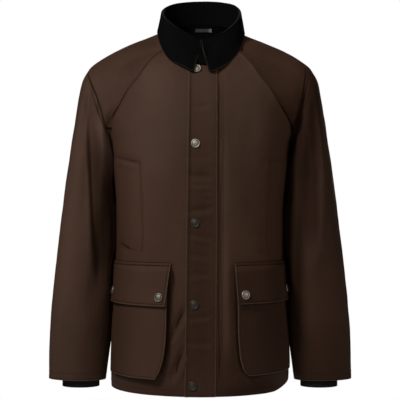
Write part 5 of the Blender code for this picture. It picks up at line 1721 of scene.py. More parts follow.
def triangles(piece):
    return sum(len(face.vertices) - 2 for face in piece.data.polygons)


def cloth_map(cloth):
    """Distances across and along the cloth, in metres, as the UV map."""
    across = run_along(cloth.points, 1)
    across = across - across[:, across.shape[1] // 2][:, None]
    return np.stack([across, run_along(cloth.points, 0)], axis=-1)


def make_shell(name, cloth, thickness, outside, inside):
    rows, columns = cloth.points.shape[:2]
    inner_points = cloth.points - cloth.normals * thickness
    points = np.concatenate([cloth.points.reshape(-1, 3), inner_points.reshape(-1, 3)])
    outer, inner, rim = shell_faces(rows, columns, cloth.wrapped)
    middle = outer[len(outer) // 2]
    turn = np.cross(points[middle[1]] - points[middle[0]], points[middle[3]] - points[middle[0]])
    faces = np.concatenate([outer, rim, inner])
    if turn @ cloth.normals.reshape(-1, 3)[middle[0]] < 0.0:
        faces = faces[:, ::-1]
    mesh = bpy.data.meshes.new(name)
    mesh.from_pydata(points.tolist(), [], faces.tolist())
    mesh.materials.append(outside)
    mesh.materials.append(inside)
    kinds = np.concatenate([np.zeros(len(outer) + len(rim)), np.ones(len(inner))]).astype(np.int32)
    mesh.polygons.foreach_set("material_index", kinds)
    corners = np.empty(len(mesh.loops), np.int32)
    mesh.loops.foreach_get("vertex_index", corners)
    places = np.tile(cloth_map(cloth).reshape(-1, 2), (2, 1))
    mesh.uv_layers.new(name="cloth").data.foreach_set("uv", places[corners].astype(np.float32).ravel())
    for label, values in {"edge_distance": cloth.edge, "seam_distance": cloth.seam, **cloth.marks}.items():
        both = np.tile(values.ravel(), 2).astype(np.float32)
        mesh.attributes.new(label, "FLOAT", "POINT").data.foreach_set("value", both)
    mesh.shade_smooth()
    mesh.set_sharp_from_angle(angle=SHARP)
    mesh.update()
    piece = add_object(name, mesh)
    print(name, triangles(piece))
    return piece


print("shell builder ready")

# %% Panels and sleeves
lining = woven["lining_weave"]
right_front = make_shell("right_front", fronts[0], CLOTH, waxed_cotton, lining)
left_front = make_shell("left_front", fronts[1], CLOTH, waxed_cotton, lining)
back_panel = make_shell("back_panel", back, CLOTH, waxed_cotton, lining)
right_sleeve = make_shell("right_sleeve", sleeves[0], CLOTH, waxed_cotton, lining)
left_sleeve = make_shell("left_sleeve", sleeves[1], CLOTH, waxed_cotton, lining)
print("sewn panels:", 5)

# %% [markdown]
# The collar
#
# Stand and fall are one folded strip: up from the neck seam, over a soft roll, and down onto the shoulders.
# The roll is low in front and high behind. The two leaves meet in a narrow V over the top snap.

# %% Collar path
Drop = namedtuple("Drop", "turn right left")
FALL_DROPS = table_of(
    Drop,
    (0, 0.0, 0.0), (15, 0.0, -0.001), (25, -0.001, -0.0045), (36, -0.003, -0.0055), (47, -0.006, -0.005),
    (58, -0.007, -0.003), (70, -0.004, 0.0), (82, 0.0, 0.0), (180, 0.0, 0.0),
)
ROLL_DROPS = table_of(
    Drop,
    (0, 0.0, 0.0), (12, 0.0, 0.003), (28, 0.001, 0.007), (55, 0.002, 0.007), (75, 0.002, 0.004),
    (95, 0.0, 0.0), (180, 0.0, 0.0),
)
# How close the leaves come to the middle, as pairs of a turn and a share or a distance
THROAT_CLOSE = ((0, 0.05), (3.4, 0.05), (14.0, 1.0), (180.0, 1.0))
ROLL_CLOSE = ((0, 0.10), (3.4, 0.10), (16.0, 1.0), (180.0, 1.0))
LEAF_CLOSE = ((0, 0.0032), (20.0, 0.0026), (34.0, 0.0), (180.0, 0.0))
ROLL_ROW = 4
THROAT_TURN = 30.0
THROAT_FADE = 14.0
THROAT_HEIGHTS = (-0.0600, -0.0440)
THROAT_CLEAR = 0.0038
STAND_DROP = 0.0030
COLLAR_SEED = 21.4


def collar_turn(turn):
    """Which side of the collar a turn is on, and the same turn counted from the front on that side."""
    return (1.0, turn) if turn <= 180.0 else (-1.0, 360.0 - turn)


def side_drop(drops, turn):
    side, half_turn = collar_turn(turn)
    return read_table(drops, "turn", "left" if side > 0 else "right", half_turn)


def stand_and_roll(turn):
    """Points from the neck seam, up the stand and over the roll, at one turn round the neck."""
    side, half_turn = collar_turn(turn)
    sine = math.sin(math.radians(turn))
    cosine = math.cos(math.radians(turn))
    out = unit(np.array((sine / ROLL_HALF_WIDTH, -cosine / ROLL_HALF_DEPTH, 0.0)))
    rise = math.sin(math.radians(half_turn / 2.0)) ** ROLL_POWER
    roll = np.array((
        COLLAR_MIDDLE_X + ROLL_HALF_WIDTH * sine,
        ROLL_MIDDLE_Y - ROLL_HALF_DEPTH * cosine,
        ROLL_FRONT_Z + (ROLL_BACK_Z - ROLL_FRONT_Z) * rise - ROLL_RADIUS - side_drop(ROLL_DROPS, turn),
    ))
    low = neck_point(half_turn) * np.array((side, 1.0, 1.0)) - out * STAND_INSET + UP * NECK_SEAM_GAP
    inside = roll - out * ROLL_RADIUS
    path = [low, 0.5 * (low + inside), inside]
    for bend in np.radians(ROLL_BENDS):
        path.append(roll + (UP * math.sin(bend) - out * math.cos(bend)) * ROLL_RADIUS)
    return path


def collar_ground():
    """Points and directions of the shoulders, for the fall to lie on."""
    body = slice(-COLLAR_BODY_ROWS, None)
    yoke = slice(0, COLLAR_YOKE_ROWS)
    cuts = [(sheet, body) for sheet in sheets[:3]] + [(sheet, yoke) for sheet in sheets[3:]]
    fine = [fine_sheet(Sheet(sheet.points[cut], sheet.normals[cut], False)) for sheet, cut in cuts]
    return [np.concatenate(grids) for grids in zip(*fine)]


def mirrored_read(x, height):
    """Point and direction on the left front, or on its mirror image where x is on the right."""
    point, normal = read_cloth(bare_fronts[1], *place_at(sheets[1], abs(x), height))
    flip = np.array((math.copysign(1.0, x), 1.0, 1.0))
    return point * flip, normal * flip


def collar_path(turn, ground):
    """The whole collar at one turn: stand, roll, and a fall that lies on the shoulders."""
    side, half_turn = collar_turn(turn)
    path = stand_and_roll(turn)
    path[0] = path[0] - UP * STAND_DROP
    for row, table in enumerate((THROAT_CLOSE, *[ROLL_CLOSE] * (2 + len(ROLL_BENDS)))):
        close = float(np.interp(half_turn, *zip(*table)))
        path[row] = path[row] + SIDEWAYS * ((path[row][0] - COLLAR_MIDDLE_X) * (close - 1.0))
    path[1] = 0.5 * (path[0] + path[2])
    # In front, the stand's lowest rows lie on the tops of the fronts and fill the V between the leaves with
    # black cord, which stands for both the stand and the deep shade inside the V
    front = soft_step((THROAT_TURN - half_turn) / THROAT_FADE)
    for row, height in enumerate(THROAT_HEIGHTS if front > 0.0 else ()):
        point, normal = mirrored_read(path[row][0], height)
        path[row] = path[row] + (point + normal * THROAT_CLEAR - path[row]) * front
    edge = np.array([read_table(FALL_EDGE, "turn", axis, half_turn) for axis in "xyz"])
    edge = edge * np.array((side, 1.0, 1.0)) + SIDEWAYS * COLLAR_MIDDLE_X
    rests = soft_step((half_turn - FALL_OVER_SNAP_TURN) / (FALL_RESTS_TURN - FALL_OVER_SNAP_TURN))
    clear = COLLAR_CLOTH + FALL_OVER_SNAP + (FALL_REST - FALL_OVER_SNAP) * rests
    fall = [path[-1] + (edge - path[-1]) * share for share in FALL_SHARES]
    inward = SIDEWAYS * (-side * float(np.interp(half_turn, *zip(*LEAF_CLOSE))))
    drop = UP * side_drop(FALL_DROPS, turn)
    for point, share in zip(fall, (0.0, 0.5, 1.0)):
        path.append(rested(point, *ground, ground[0], clear) + inward + drop * share)
    return path


def collar_sheet():
    ground = collar_ground()
    turns = np.linspace(COLLAR_FRONT_TURN, 360.0 - COLLAR_FRONT_TURN, COLLAR_COLUMNS + 1)
    points = np.array([collar_path(turn, ground) for turn in turns]).transpose(1, 0, 2)
    guide = np.zeros_like(points)
    guide[ROLL_ROW] = UP
    return Sheet(points, grid_normals(points, False, lambda grid: guide), False)


collar_cloth = smooth_cloth(collar_sheet(), 5, 5, ("high_row", "low_column", "high_column"), ())
collar_cloth = creased(collar_cloth, "collar", COLLAR_SEED)
collar_run = run_along(collar_cloth.points, 0)
roll_row = int(np.argmin(np.abs(collar_cloth.rows - ROLL_ROW)))
# Pale edges on the fall only; the seam distance counts from the roll, for the roll's pale line of wear and
# painted highlight
edge_of_fall = np.where(collar_cloth.rows[:, None] < ROLL_ROW, FAR, collar_cloth.edge)
collar_cloth = collar_cloth._replace(edge=edge_of_fall, seam=np.abs(collar_run - collar_run[roll_row]))
cord_collar = make_shell("cord_collar", collar_cloth, COLLAR_CLOTH, cord_cloth, cord_cloth)

# %% [markdown]
# The storm flap
#
# A double strip covers the closing edges. It is sewn down on the wearer's left and snapped on the right, so
# its free edge is on the left of the picture. Snapping and unsnapping leaves short level wrinkles in it.

# %% Storm flap cloth
STORM_ROWS = 170
STORM_MIDDLE_COLUMNS = 14
STORM_LAST_STEP = 0.0076
STORM_SEED = 27.3
STORM_MOVEMENT = 0.5
STRIP_TOP = -0.0575
STORM_HIGHLIGHT_LINE = 0.0036
STORM_HIGHLIGHT_REACH = 0.0024
STORM_SEAM_OUT = 0.0030
STORM_SEWN = 0.0006
STORM_SEWN_REACH = 0.0100
EDGE_STEPS = (0.0, 0.0006, 0.0014, 0.0026, 0.0040, 0.0056)


def storm_grid():
    """The strip's columns are denser near both of its edges."""
    low = bare_fronts[1].points[0, 0, 2]
    steps = np.array(EDGE_STEPS + (STORM_LAST_STEP,))
    points = []
    normals = []
    for height in np.linspace(low, STRIP_TOP, STORM_ROWS):
        free = read_table(STORM_EDGES, "height", "free", height)
        seamed = read_table(STORM_EDGES, "height", "seamed", height) + STORM_SEAM_OUT
        middle = np.linspace(free + steps[-1], seamed - steps[-1], STORM_MIDDLE_COLUMNS)[1:-1]
        places = np.concatenate([free + steps, middle, seamed - steps[::-1]])
        lifts = np.interp(seamed - places, (0.0, STORM_SEWN_REACH), (STORM_SEWN, STORM_BED + STORM_CLOTH))
        read = [mirrored_read(x, height) for x in places]
        points.append([point + normal * lift for (point, normal), lift in zip(read, lifts)])
        normals.append([normal for _, normal in read])
    return cloth_of(points, normals, ("low_column", "low_row"), ("high_column",))


storm_cloth = creased(storm_grid(), "storm", STORM_SEED, STORM_MOVEMENT)
# A painted highlight: a pale line a few millimetres inside the sewn edge, where the cloth stands up beside
# the seam
seam_highlight = np.abs(storm_cloth.seam - STORM_HIGHLIGHT_LINE)
seam_highlight = np.where(seam_highlight < STORM_HIGHLIGHT_REACH, seam_highlight, FAR)
storm_cloth = storm_cloth._replace(edge=np.minimum(storm_cloth.edge, seam_highlight))
storm_strip = make_shell("storm_strip", storm_cloth, STORM_CLOTH, waxed_cotton, lining)

# %% [markdown]
# The bellows pockets
#
# Each lower pocket is a bag with standing sides, so that it can swell. Its face stands 12 to 15 mm off the
# front at the inner edge and hugs it at the side of the body. The edge between side and face is rounded.

# %% Pocket bags
BAG_OUTLINES = {
    "right": ((-0.472, 0.0610), (-0.536, 0.0635), (-0.612, 0.0665), (-0.650, 0.0730), (-0.668, 0.0800),
              (-0.681, 0.0880)),
    "left": ((-0.472, 0.0715), (-0.536, 0.0725), (-0.612, 0.0742), (-0.645, 0.0785), (-0.663, 0.0850),
             (-0.6745, 0.0960)),
}
FLAP_OUTLINES = {"right": ((-0.450, 0.0567), (-0.535, 0.0696)), "left": ((-0.450, 0.0690), (-0.531, 0.0745))}
BAG_ROUND = 0.0028
BAG_FOLD = 0.0026
BAG_HUG_START = 0.35
BAG_HUG = 0.45
FLAP_HUG = 0.75
HUG_HIGH = -0.540
HUG_LOW = -0.620
BAG_FOOT_END = 0.014
BAG_LEVELS = 44
BAG_COLUMNS = 30
POCKET_SEED = 31.0
POCKET_MOVEMENT = 0.35
BAG_EDGE_STEPS = (-0.0014, -0.0006, 0.0, 0.0003, 0.0007, 0.0013, 0.0020, 0.0030, 0.0046, 0.0080)


def round_share(distance):
    """0 on the front, rising round the bag's edge to 1 on its face."""
    way = min(max(distance / BAG_ROUND, 0.0), 1.0)
    return math.sqrt(1.0 - (1.0 - way) ** 2)


def stand_way(normal, share):
    """A pocket stands straight out in front at its inner edge, and away from the cloth at its outer end."""
    turned = soft_step(share)
    return unit(np.array((0.0, turned - 1.0, 0.0)) + normal * turned)


def hug(share, height):
    """Round the side of the body a pocket lies closer to the cloth, most of all at its flap."""
    most = BAG_HUG + (FLAP_HUG - BAG_HUG) * soft_step((height - HUG_LOW) / (HUG_HIGH - HUG_LOW))
    return 1.0 - most * soft_step((share - BAG_HUG_START) / (1.0 - BAG_HUG_START))


def inner_edge(front, rows, height, lowest):
    """The column place of a pocket piece's inner edge at a height, and the width of the front's column."""
    row, start = place_at(front, read_table(rows, "height", "inner_x", max(height, lowest)), height)
    near = int(start)
    return start, np.linalg.norm(front.points[int(row), near + 1] - front.points[int(row), near])


def bag_grid(plan, front):
    low = min(row.height for row in plan.bag)
    top = max(row.height for row in plan.bag)
    points = []
    edges = []
    feet = []
    heights = [low + step for step in BAG_EDGE_STEPS]
    for height in heights + list(np.linspace(low + BAG_FOOT_END, top, BAG_LEVELS)):
        start, span = inner_edge(front, plan.bag, height, low)
        places = [start + step / span for step in BAG_EDGE_STEPS]
        outer = [POCKET_END_COLUMN - step / span for step in BAG_EDGE_STEPS[::-1]]
        line = []
        distances = []
        for place in places + list(np.linspace(places[-1], outer[0], BAG_COLUMNS)[1:-1]) + outer:
            point, normal = laid_read(plan.side, row_at(front, place, height), place)
            share = min(max((place - start) / (POCKET_END_COLUMN - start), 0.0), 1.0)
            distance = min(place - start, POCKET_END_COLUMN - place) * span
            distance = min(distance, height - low)
            stand = bag_stand(share, height) * hug(share, height) * round_share(distance)
            line.append(point + stand_way(normal, share) * max(stand, POCKET_FOOT_GAP))
            distances.append(distance)
        points.append(line)
        # The pale edge line runs along the bag's rounded fold, partly wear and partly painted highlight; the
        # dark seam line at its foot doubles as painted shade at the foot of its standing side
        edges.append(np.abs(np.array(distances) - BAG_FOLD))
        feet.append(np.abs(distances))
    made = cloth_of(points, grid_normals(np.array(points), False, from_axis), ())
    return made._replace(edge=np.array(edges), seam=np.array(feet))


shaped_pockets = [
    plan._replace(bag=table_of(PocketRow, *BAG_OUTLINES[plan.name]),
                  flap=table_of(PocketRow, *FLAP_OUTLINES[plan.name]))
    for plan in POCKETS
]
bags = []
for plan, front in zip(shaped_pockets, sheets[:2]):
    bag = creased(bag_grid(plan, front), "bag_" + plan.name, POCKET_SEED + plan.side, POCKET_MOVEMENT)
    bags.append(make_shell(plan.name + "_pocket_bag", bag, CLOTH, waxed_cotton, lining))

# %% [markdown]
# The pocket flaps
#
# A flap is sewn to the front above the bag's mouth, climbs over it and hangs in front of the bag's face. Its
# free edge stands off a little, so a thin shadow shows under it.

# %% Flaps
FLAP_EDGE_STEPS = EDGE_STEPS + (0.0080,)
FLAP_FREE_LIFT = 0.0035
FLAP_FREE_REACH = 0.040
HEADER_LINE = 0.0072
FLAP_FOOT_END = 0.012
FLAP_LEVELS = 34
FLAP_COLUMNS = 34


def flap_grid(plan, front):
    low = min(row.height for row in plan.flap)
    top = max(row.height for row in plan.flap)
    heights = [low + step for step in FLAP_EDGE_STEPS]
    heights += list(np.linspace(low + FLAP_FOOT_END, top, FLAP_LEVELS))
    end = POCKET_END_COLUMN + FLAP_OVERHANG_COLUMNS
    flat = FLAP_BED + FLAP_CLOTH
    points = []
    columns = []
    for height in heights:
        start, span = inner_edge(front, plan.flap, height, low)
        places = [start + step / span for step in FLAP_EDGE_STEPS]
        places += list(np.linspace(places[-1], end, FLAP_COLUMNS)[1:])
        free = soft_step(1.0 - (height - low) / FLAP_FREE_REACH) * FLAP_FREE_LIFT
        line = []
        for place in places:
            point, normal = laid_read(plan.side, row_at(front, place, height), place)
            share = (place - start) / (end - start)
            lift = flat + (flap_lift(share, height, top) - flat) * hug(share, height)
            line.append(point + stand_way(normal, share) * (lift + free))
        points.append(line)
        columns.append(places)
    outward = grid_normals(np.array(points), False, from_axis)
    made = cloth_of(points, outward, ("low_row", "low_column"), ("high_row",))
    made = made._replace(seam=np.minimum(made.seam, np.abs(made.seam - HEADER_LINE)))
    return made, np.array(heights), np.array(columns)


flaps = []
flap_cloths = []
for plan, front in zip(shaped_pockets, sheets[:2]):
    grid, flap_heights, flap_columns = flap_grid(plan, front)
    flap_cloth = creased(grid, "flap_" + plan.name, POCKET_SEED + plan.side, POCKET_MOVEMENT)
    flap_cloths.append((flap_cloth, flap_heights, flap_columns))
    flaps.append(make_shell(plan.name + "_pocket_lid", flap_cloth, FLAP_CLOTH, waxed_cotton, waxed_cotton))

# %% [markdown]
# The handwarmer pockets
#
# Above the bellows pockets, a flat patch on each side makes a pocket for cold hands. Its mouth is at the
# side of the body, behind the sleeve. Only its sewn edges show from the front.

# %% Handwarmer patches
PATCH_PROUD = 0.0008
PATCH_SEAM_FADED = 0.0014
PATCH_COLUMNS = 24
PATCH_LEVELS = 40


def lifted(rows, lift):
    """Points at a height over rows of read points and directions, and those directions."""
    points = [[point + normal * lift for point, normal in row] for row in rows]
    return np.array(points), np.array([[normal for _, normal in row] for row in rows])


def patch_grid(inner_x, side, front, panel):
    tall = HANDWARMER_TOP - HANDWARMER_BOTTOM
    column = place_at(front, inner_x, 0.5 * (HANDWARMER_TOP + HANDWARMER_BOTTOM))[1]
    span = np.linalg.norm(front.points[8, int(column) + 1] - front.points[8, int(column)])
    places = [column + step / span for step in FLAP_EDGE_STEPS]
    places += list(np.linspace(places[-1], HANDWARMER_END_COLUMN, PATCH_COLUMNS)[1:])
    levels = [step / tall for step in FLAP_EDGE_STEPS]
    middle = list(np.linspace(levels[-1], 1.0 - levels[-1], PATCH_LEVELS)[1:-1])
    levels += middle + [1.0 - level for level in levels[::-1]]
    rows = []
    for level in levels:
        row = []
        for place in places:
            slant = (place - column) / (HANDWARMER_END_COLUMN - column)
            low = HANDWARMER_BOTTOM + HANDWARMER_BOTTOM_SLANT * slant
            high = HANDWARMER_TOP + HANDWARMER_TOP_SLANT * slant
            row.append(laid_read(side, row_at(front, place, low + (high - low) * level), place))
        rows.append(row)
    cloth = cloth_of(*lifted(rows, PATCH_PROUD), (), ("high_row", "low_column"))
    return cloth._replace(seam=cloth.seam + PATCH_SEAM_FADED, marks=crease_moves(cloth, panel)[1])


patch_cloths = [
    patch_grid(inner_x, side, front, panel)
    for inner_x, side, front, panel in zip(
        HANDWARMER_INNER_X, (-1, 1), sheets[:2], ("front_right", "front_left"),
    )
]
patches = [
    make_shell(name, cloth, PATCH_CLOTH, waxed_cotton, lining)
    for name, cloth in zip(("right_hand_patch", "left_hand_patch"), patch_cloths)
]

# %% [markdown]
# The knitted cuffs
#
# A ribbed tube sits inside each sleeve end and keeps the wind out. The ribs are real waves in the mesh, and
# the tube narrows from the sleeve to the wrist.

# %% Cuffs
CUFF_POINTS_PER_RIB = 8
CUFF_ROWS = 22
CUFF_SLIM = 0.0045


def cuff_grid(side):
    depths = [-0.5 * (section.inner_z + section.outer_z) for section in SLEEVE_SECTIONS]
    place = np.interp(-CUFF_TOP, depths, np.arange(len(depths)))
    inner_x, _, outer_x, _, front, behind, middle_y = smooth_read(range(len(depths)), SLEEVE_SECTIONS, place)
    clear = CLOTH + CUFF_TOP_GAP + CUFF_RIB_HEIGHT
    count = CUFF_RIBS * CUFF_POINTS_PER_RIB
    turns = 2.0 * math.pi * np.arange(count) / count
    cosine = np.cos(turns)
    sine = np.sin(turns)
    depth = np.where(sine >= 0.0, front, behind) - clear
    wide = np.stack([0.5 * (inner_x + outer_x) - (0.5 * (outer_x - inner_x) - clear) * cosine,
                     middle_y - depth * sine], axis=-1)
    slim = np.stack([CUFF_MIDDLE_X - CUFF_SLIM - (CUFF_HALF_WIDTH - CUFF_SLIM) * cosine,
                     CUFF_MIDDLE_Y - CUFF_HALF_DEPTH * sine], axis=-1)
    rib = CUFF_RIB_HEIGHT * (0.5 + 0.5 * np.cos(CUFF_RIBS * turns))
    rows = []
    for height in np.linspace(CUFF_TOP, CUFF_BOTTOM, CUFF_ROWS):
        share = soft_step((CUFF_TOP - height) / (CUFF_TOP - CUFF_NECK))
        flat = wide + (slim - wide) * share + np.stack([-cosine, -sine], axis=-1) * rib[:, None]
        rows.append([(side * x, y, height) for x, y in flat])
    normals = grid_normals(np.array(rows), True, from_ring_middles)
    return cloth_of(rows, normals, ("high_row",), (), True)


cuffs = [
    make_shell(name, cuff_grid(side), KNIT, knit, knit)
    for name, side in (("right_knit_cuff", -1.0), ("left_knit_cuff", 1.0))
]

# %% [markdown]
# Inside the neck
#
# A black facing covers the back's neck seam from the inside, with a small woven bar sewn on it. The bar is
# left plain.

# %% Facing and bar
ALL_SIDES = ("low_row", "high_row", "low_column", "high_column")
BAR_HALF_HEIGHT = 0.0032
BAR_MIDDLE = 0.0394
BAR_LEVELS = 6
BAR_COLUMNS = 22
FACING_TOP_SHORT = 0.06
FACING_LEVELS = 14
FACING_PLACES = 40


def neck_patch_grid():
    last = float(len(BODY_ROWS) - 1 + SEAM_STEPS)
    places = np.linspace(BACK_COLUMNS - FACING_COLUMNS, BACK_COLUMNS + FACING_COLUMNS, FACING_PLACES)
    levels = np.linspace(last - FACING_ROWS, last - FACING_TOP_SHORT, FACING_LEVELS)
    rows = [[read_cloth(bare_back, level, place) for place in places] for level in levels]
    return cloth_of(*lifted(rows, -CLOTH - FACING_GAP), ALL_SIDES)


def bar_grid():
    half = Sheet(sheets[2].points[:, BACK_COLUMNS:], sheets[2].normals[:, BACK_COLUMNS:], False)
    rows = []
    for height in np.linspace(BAR_MIDDLE - BAR_HALF_HEIGHT, BAR_MIDDLE + BAR_HALF_HEIGHT, BAR_LEVELS):
        line = []
        for x in np.linspace(LABEL_LEFT, LABEL_RIGHT, BAR_COLUMNS):
            row, column = place_at(half, abs(x), height)
            line.append(read_cloth(bare_back, row, BACK_COLUMNS + math.copysign(column, x)))
        rows.append(line)
    return cloth_of(*lifted(rows, -CLOTH - FACING_GAP - FACING_CLOTH - LAY_GAP), ALL_SIDES)


facing_weave = woven["facing_weave"]
neck_patch = make_shell("neck_patch", neck_patch_grid(), FACING_CLOTH, facing_weave, facing_weave)
plain_bar = make_shell("plain_bar", bar_grid(), LABEL_CLOTH, woven["label_weave"], woven["label_weave"])

# %% [markdown]
# Snap caps
#
# A cap is a turned shape: a rolled rim, a groove inside it, and a low dome. A profile of radius and height
# is turned round the direction in which the cloth faces, and the groove's points are marked for tarnish.

# %% Snap caps
CapPoint = namedtuple("CapPoint", "radius height tarnish")
CAP_PROFILE = table_of(
    CapPoint,
    (0.0, 0.92, 0.0), (0.22, 0.9, 0.0), (0.44, 0.83, 0.05), (0.6, 0.72, 0.25), (0.66, 0.62, 0.85),
    (0.7, 0.6, 0.95), (0.75, 0.7, 0.4), (0.8, 0.82, 0.05), (0.88, 0.84, 0.0), (0.96, 0.68, 0.0),
    (1.0, 0.4, 0.1), (0.97, 0.12, 0.5), (0.9, 0.0, 0.9), (0.0, 0.0, 0.9),
)
CAP_SIDES = 40
OUTER_CAP_SHIFT = 0.27
OUTER_CAP_RISE = 0.0050
INNER_CAP_SHIFT = 0.0045
BRIGHT_STORM_SNAPS = 2


def make_cap(name, point, normal, material):
    side = unit(np.cross(UP, normal))
    rise = np.cross(normal, side)
    turns = 2.0 * np.pi * np.arange(CAP_SIDES)[:, None] / CAP_SIDES
    away = side * np.cos(turns) + rise * np.sin(turns)
    top, *rings, foot = CAP_PROFILE
    points = [[point + normal * (SNAP_HEIGHT * top.height)]]
    for ring in rings:
        points.append(point + away * (SNAP_RADIUS * ring.radius) + normal * (SNAP_HEIGHT * ring.height))
    points = np.concatenate(points + [[point]])
    tarnish = [top.tarnish, *np.repeat([ring.tarnish for ring in rings], CAP_SIDES), foot.tarnish]
    faces = []
    for step in range(1, CAP_SIDES + 1):
        after = step % CAP_SIDES + 1
        last = (len(rings) - 1) * CAP_SIDES
        faces += [(0, step, after), (len(points) - 1, last + after, last + step)]
        for low in range(0, last, CAP_SIDES):
            high = low + CAP_SIDES
            faces.append((low + step, high + step, high + after, low + after))
    mesh = bpy.data.meshes.new(name)
    mesh.from_pydata(points.tolist(), [], faces)
    mesh.attributes.new("tarnish", "FLOAT", "POINT").data.foreach_set("value", np.array(tarnish, np.float32))
    mesh.materials.append(material)
    mesh.shade_smooth()
    mesh.update()
    return add_object(name, mesh)


def storm_cap_spot(spot):
    """Where a storm cap sits: on the storm flap's own surface."""
    distances = np.linalg.norm(storm_cloth.points[..., [0, 2]] - np.array((spot.x, spot.z)), axis=-1)
    index = np.unravel_index(int(np.argmin(distances)), distances.shape)
    return np.array((spot.x, storm_cloth.points[index][1], spot.z)), storm_cloth.normals[index]


def flap_cap_spot(height, made, column):
    """Where a pocket cap sits on its flap, at a column of the front and a height."""
    cloth, heights, columns = made
    row = place_among(height, heights)
    return read_sheet(cloth, row, place_among(column, columns[int(row)]))


caps = {}
for number, spot in enumerate(STORM_SNAPS, 1):
    metal = bright_snap if number <= BRIGHT_STORM_SNAPS else dark_snap
    caps[f"storm_snap_{number}"] = make_cap(f"storm_cap_{number}", *storm_cap_spot(spot), metal)
for plan, front, made in zip(POCKETS, sheets[:2], flap_cloths):
    inner_column = place_at(front, plan.snap_x + INNER_CAP_SHIFT, plan.snap_z)[1]
    outer_column = plan.outer_snap_column + OUTER_CAP_SHIFT
    metal = mid_snap if plan.side < 0 else bright_snap
    for label, column, rise in (("inner", inner_column, 0.0), ("outer", outer_column, OUTER_CAP_RISE)):
        spot = flap_cap_spot(plan.snap_z + rise, made, column)
        caps[f"pocket_snap_{plan.name}_{label}"] = make_cap(f"{plan.name}_{label}_cap", *spot, metal)
print("caps:", len(caps))

# %% [markdown]
# Stitches with Geometry Nodes
#
# All the topstitching is one piece. A curve follows the sewn edges of the panels, the storm flap's free edge,
# the pocket flaps and the handwarmer patches a few millimetres inside them, and a node tree puts one small
# stitch at even steps along it, turned to the curve. Inputs set the step and the size.

# %% Stitch tree
def stitch_tree(material):
    tree = bpy.data.node_groups.new("topstitch", "GeometryNodeTree")
    sockets = [("Geometry", "INPUT", "Geometry"), ("Geometry", "OUTPUT", "Geometry")]
    sockets += [(name, "INPUT", "Float") for name in ("Stitch step", "Stitch length", "Thread radius")]
    for name, way, kind in sockets:
        tree.interface.new_socket(name=name, in_out=way, socket_type="NodeSocket" + kind)
    given = tree.nodes.new("NodeGroupInput").outputs
    steps = {"Curve": given["Geometry"], "Length": given["Stitch step"]}
    along = add_node(tree, "GeometryNodeResampleCurve", steps, mode="LENGTH")
    bead = add_node(tree, "GeometryNodeMeshUVSphere", {"Segments": 6, "Rings": 4, "Radius": 1.0})
    half = Number(given["Stitch length"]) * 0.5
    width = given["Thread radius"]
    size = add_node(tree, "ShaderNodeCombineXYZ", {"X": width, "Y": width, "Z": half})
    tangent = tree.nodes.new("GeometryNodeInputTangent").outputs["Tangent"]
    turn = add_node(tree, "FunctionNodeAlignRotationToVector", {"Vector": tangent}, axis="Z")
    stitches = add_node(tree, "GeometryNodeInstanceOnPoints", {
        "Points": along.outputs["Curve"], "Instance": bead.outputs["Mesh"],
        "Rotation": turn.outputs["Rotation"], "Scale": size.outputs["Vector"],
    })
    real = add_node(tree, "GeometryNodeRealizeInstances", {"Geometry": stitches.outputs["Instances"]})
    paint = {"Geometry": real.outputs["Geometry"], "Material": material}
    painted = add_node(tree, "GeometryNodeSetMaterial", paint)
    add_node(tree, "NodeGroupOutput", {"Geometry": painted.outputs["Geometry"]})
    return tree


topstitch = stitch_tree(woven["stitch_thread"])
print("tree:", topstitch.name, len(topstitch.nodes), "nodes")

# %% Stitch lines
STITCH_INPUTS = {"Stitch step": 0.0044, "Stitch length": 0.0034, "Thread radius": 0.00042}
STITCH_LIFT = 0.0002
SEAM_INSET = 0.0045
EDGE_INSET = 0.0042
BODY_HEM_INSET = 0.0120
SLEEVE_HEM_INSET = 0.0150
HEADER_INSETS = (0.0020, 0.0085)


def line_inside(cloth, edge, inset, first=0):
    """A line at a distance inside one edge of a cloth, laid on its surface."""
    grids = [cloth.points, cloth.normals]
    if edge.endswith("row"):
        grids = [grid.swapaxes(0, 1) for grid in grids]
    if edge.startswith("high"):
        grids = [grid[:, ::-1] for grid in grids]
    line = []
    for row, guide in zip(grids[0][first:], grids[1][first:]):
        run = np.concatenate([[0.0], np.cumsum(np.linalg.norm(np.diff(row, axis=0), axis=1))])
        point, normal = (
            np.array([np.interp(inset, run, grid[:, axis]) for axis in range(3)]) for grid in (row, guide)
        )
        line.append(point + unit(normal) * STITCH_LIFT)
    return np.array(line)


def stitch_lines():
    armpit = int(np.searchsorted(fronts[0].rows, len(BODY_ROWS) - 1))
    lines = []
    for cloth in fronts:
        lines.append(line_inside(cloth, "high_column", SEAM_INSET, armpit))
        lines.append(line_inside(cloth, "low_row", BODY_HEM_INSET))
    lines += [line_inside(back, edge, SEAM_INSET, armpit) for edge in ("low_column", "high_column")]
    lines.append(line_inside(back, "low_row", BODY_HEM_INSET))
    lines += [line_inside(cloth, "high_row", SLEEVE_HEM_INSET) for cloth in sleeves]
    lines.append(line_inside(storm_cloth, "low_column", EDGE_INSET))
    for cloth, _, _ in flap_cloths:
        lines += [line_inside(cloth, edge, SEAM_INSET) for edge in ("low_row", "low_column")]
        lines += [line_inside(cloth, "high_row", inset) for inset in HEADER_INSETS]
    for cloth in patch_cloths:
        lines += [line_inside(cloth, edge, EDGE_INSET) for edge in ("high_row", "low_column")]
    return lines


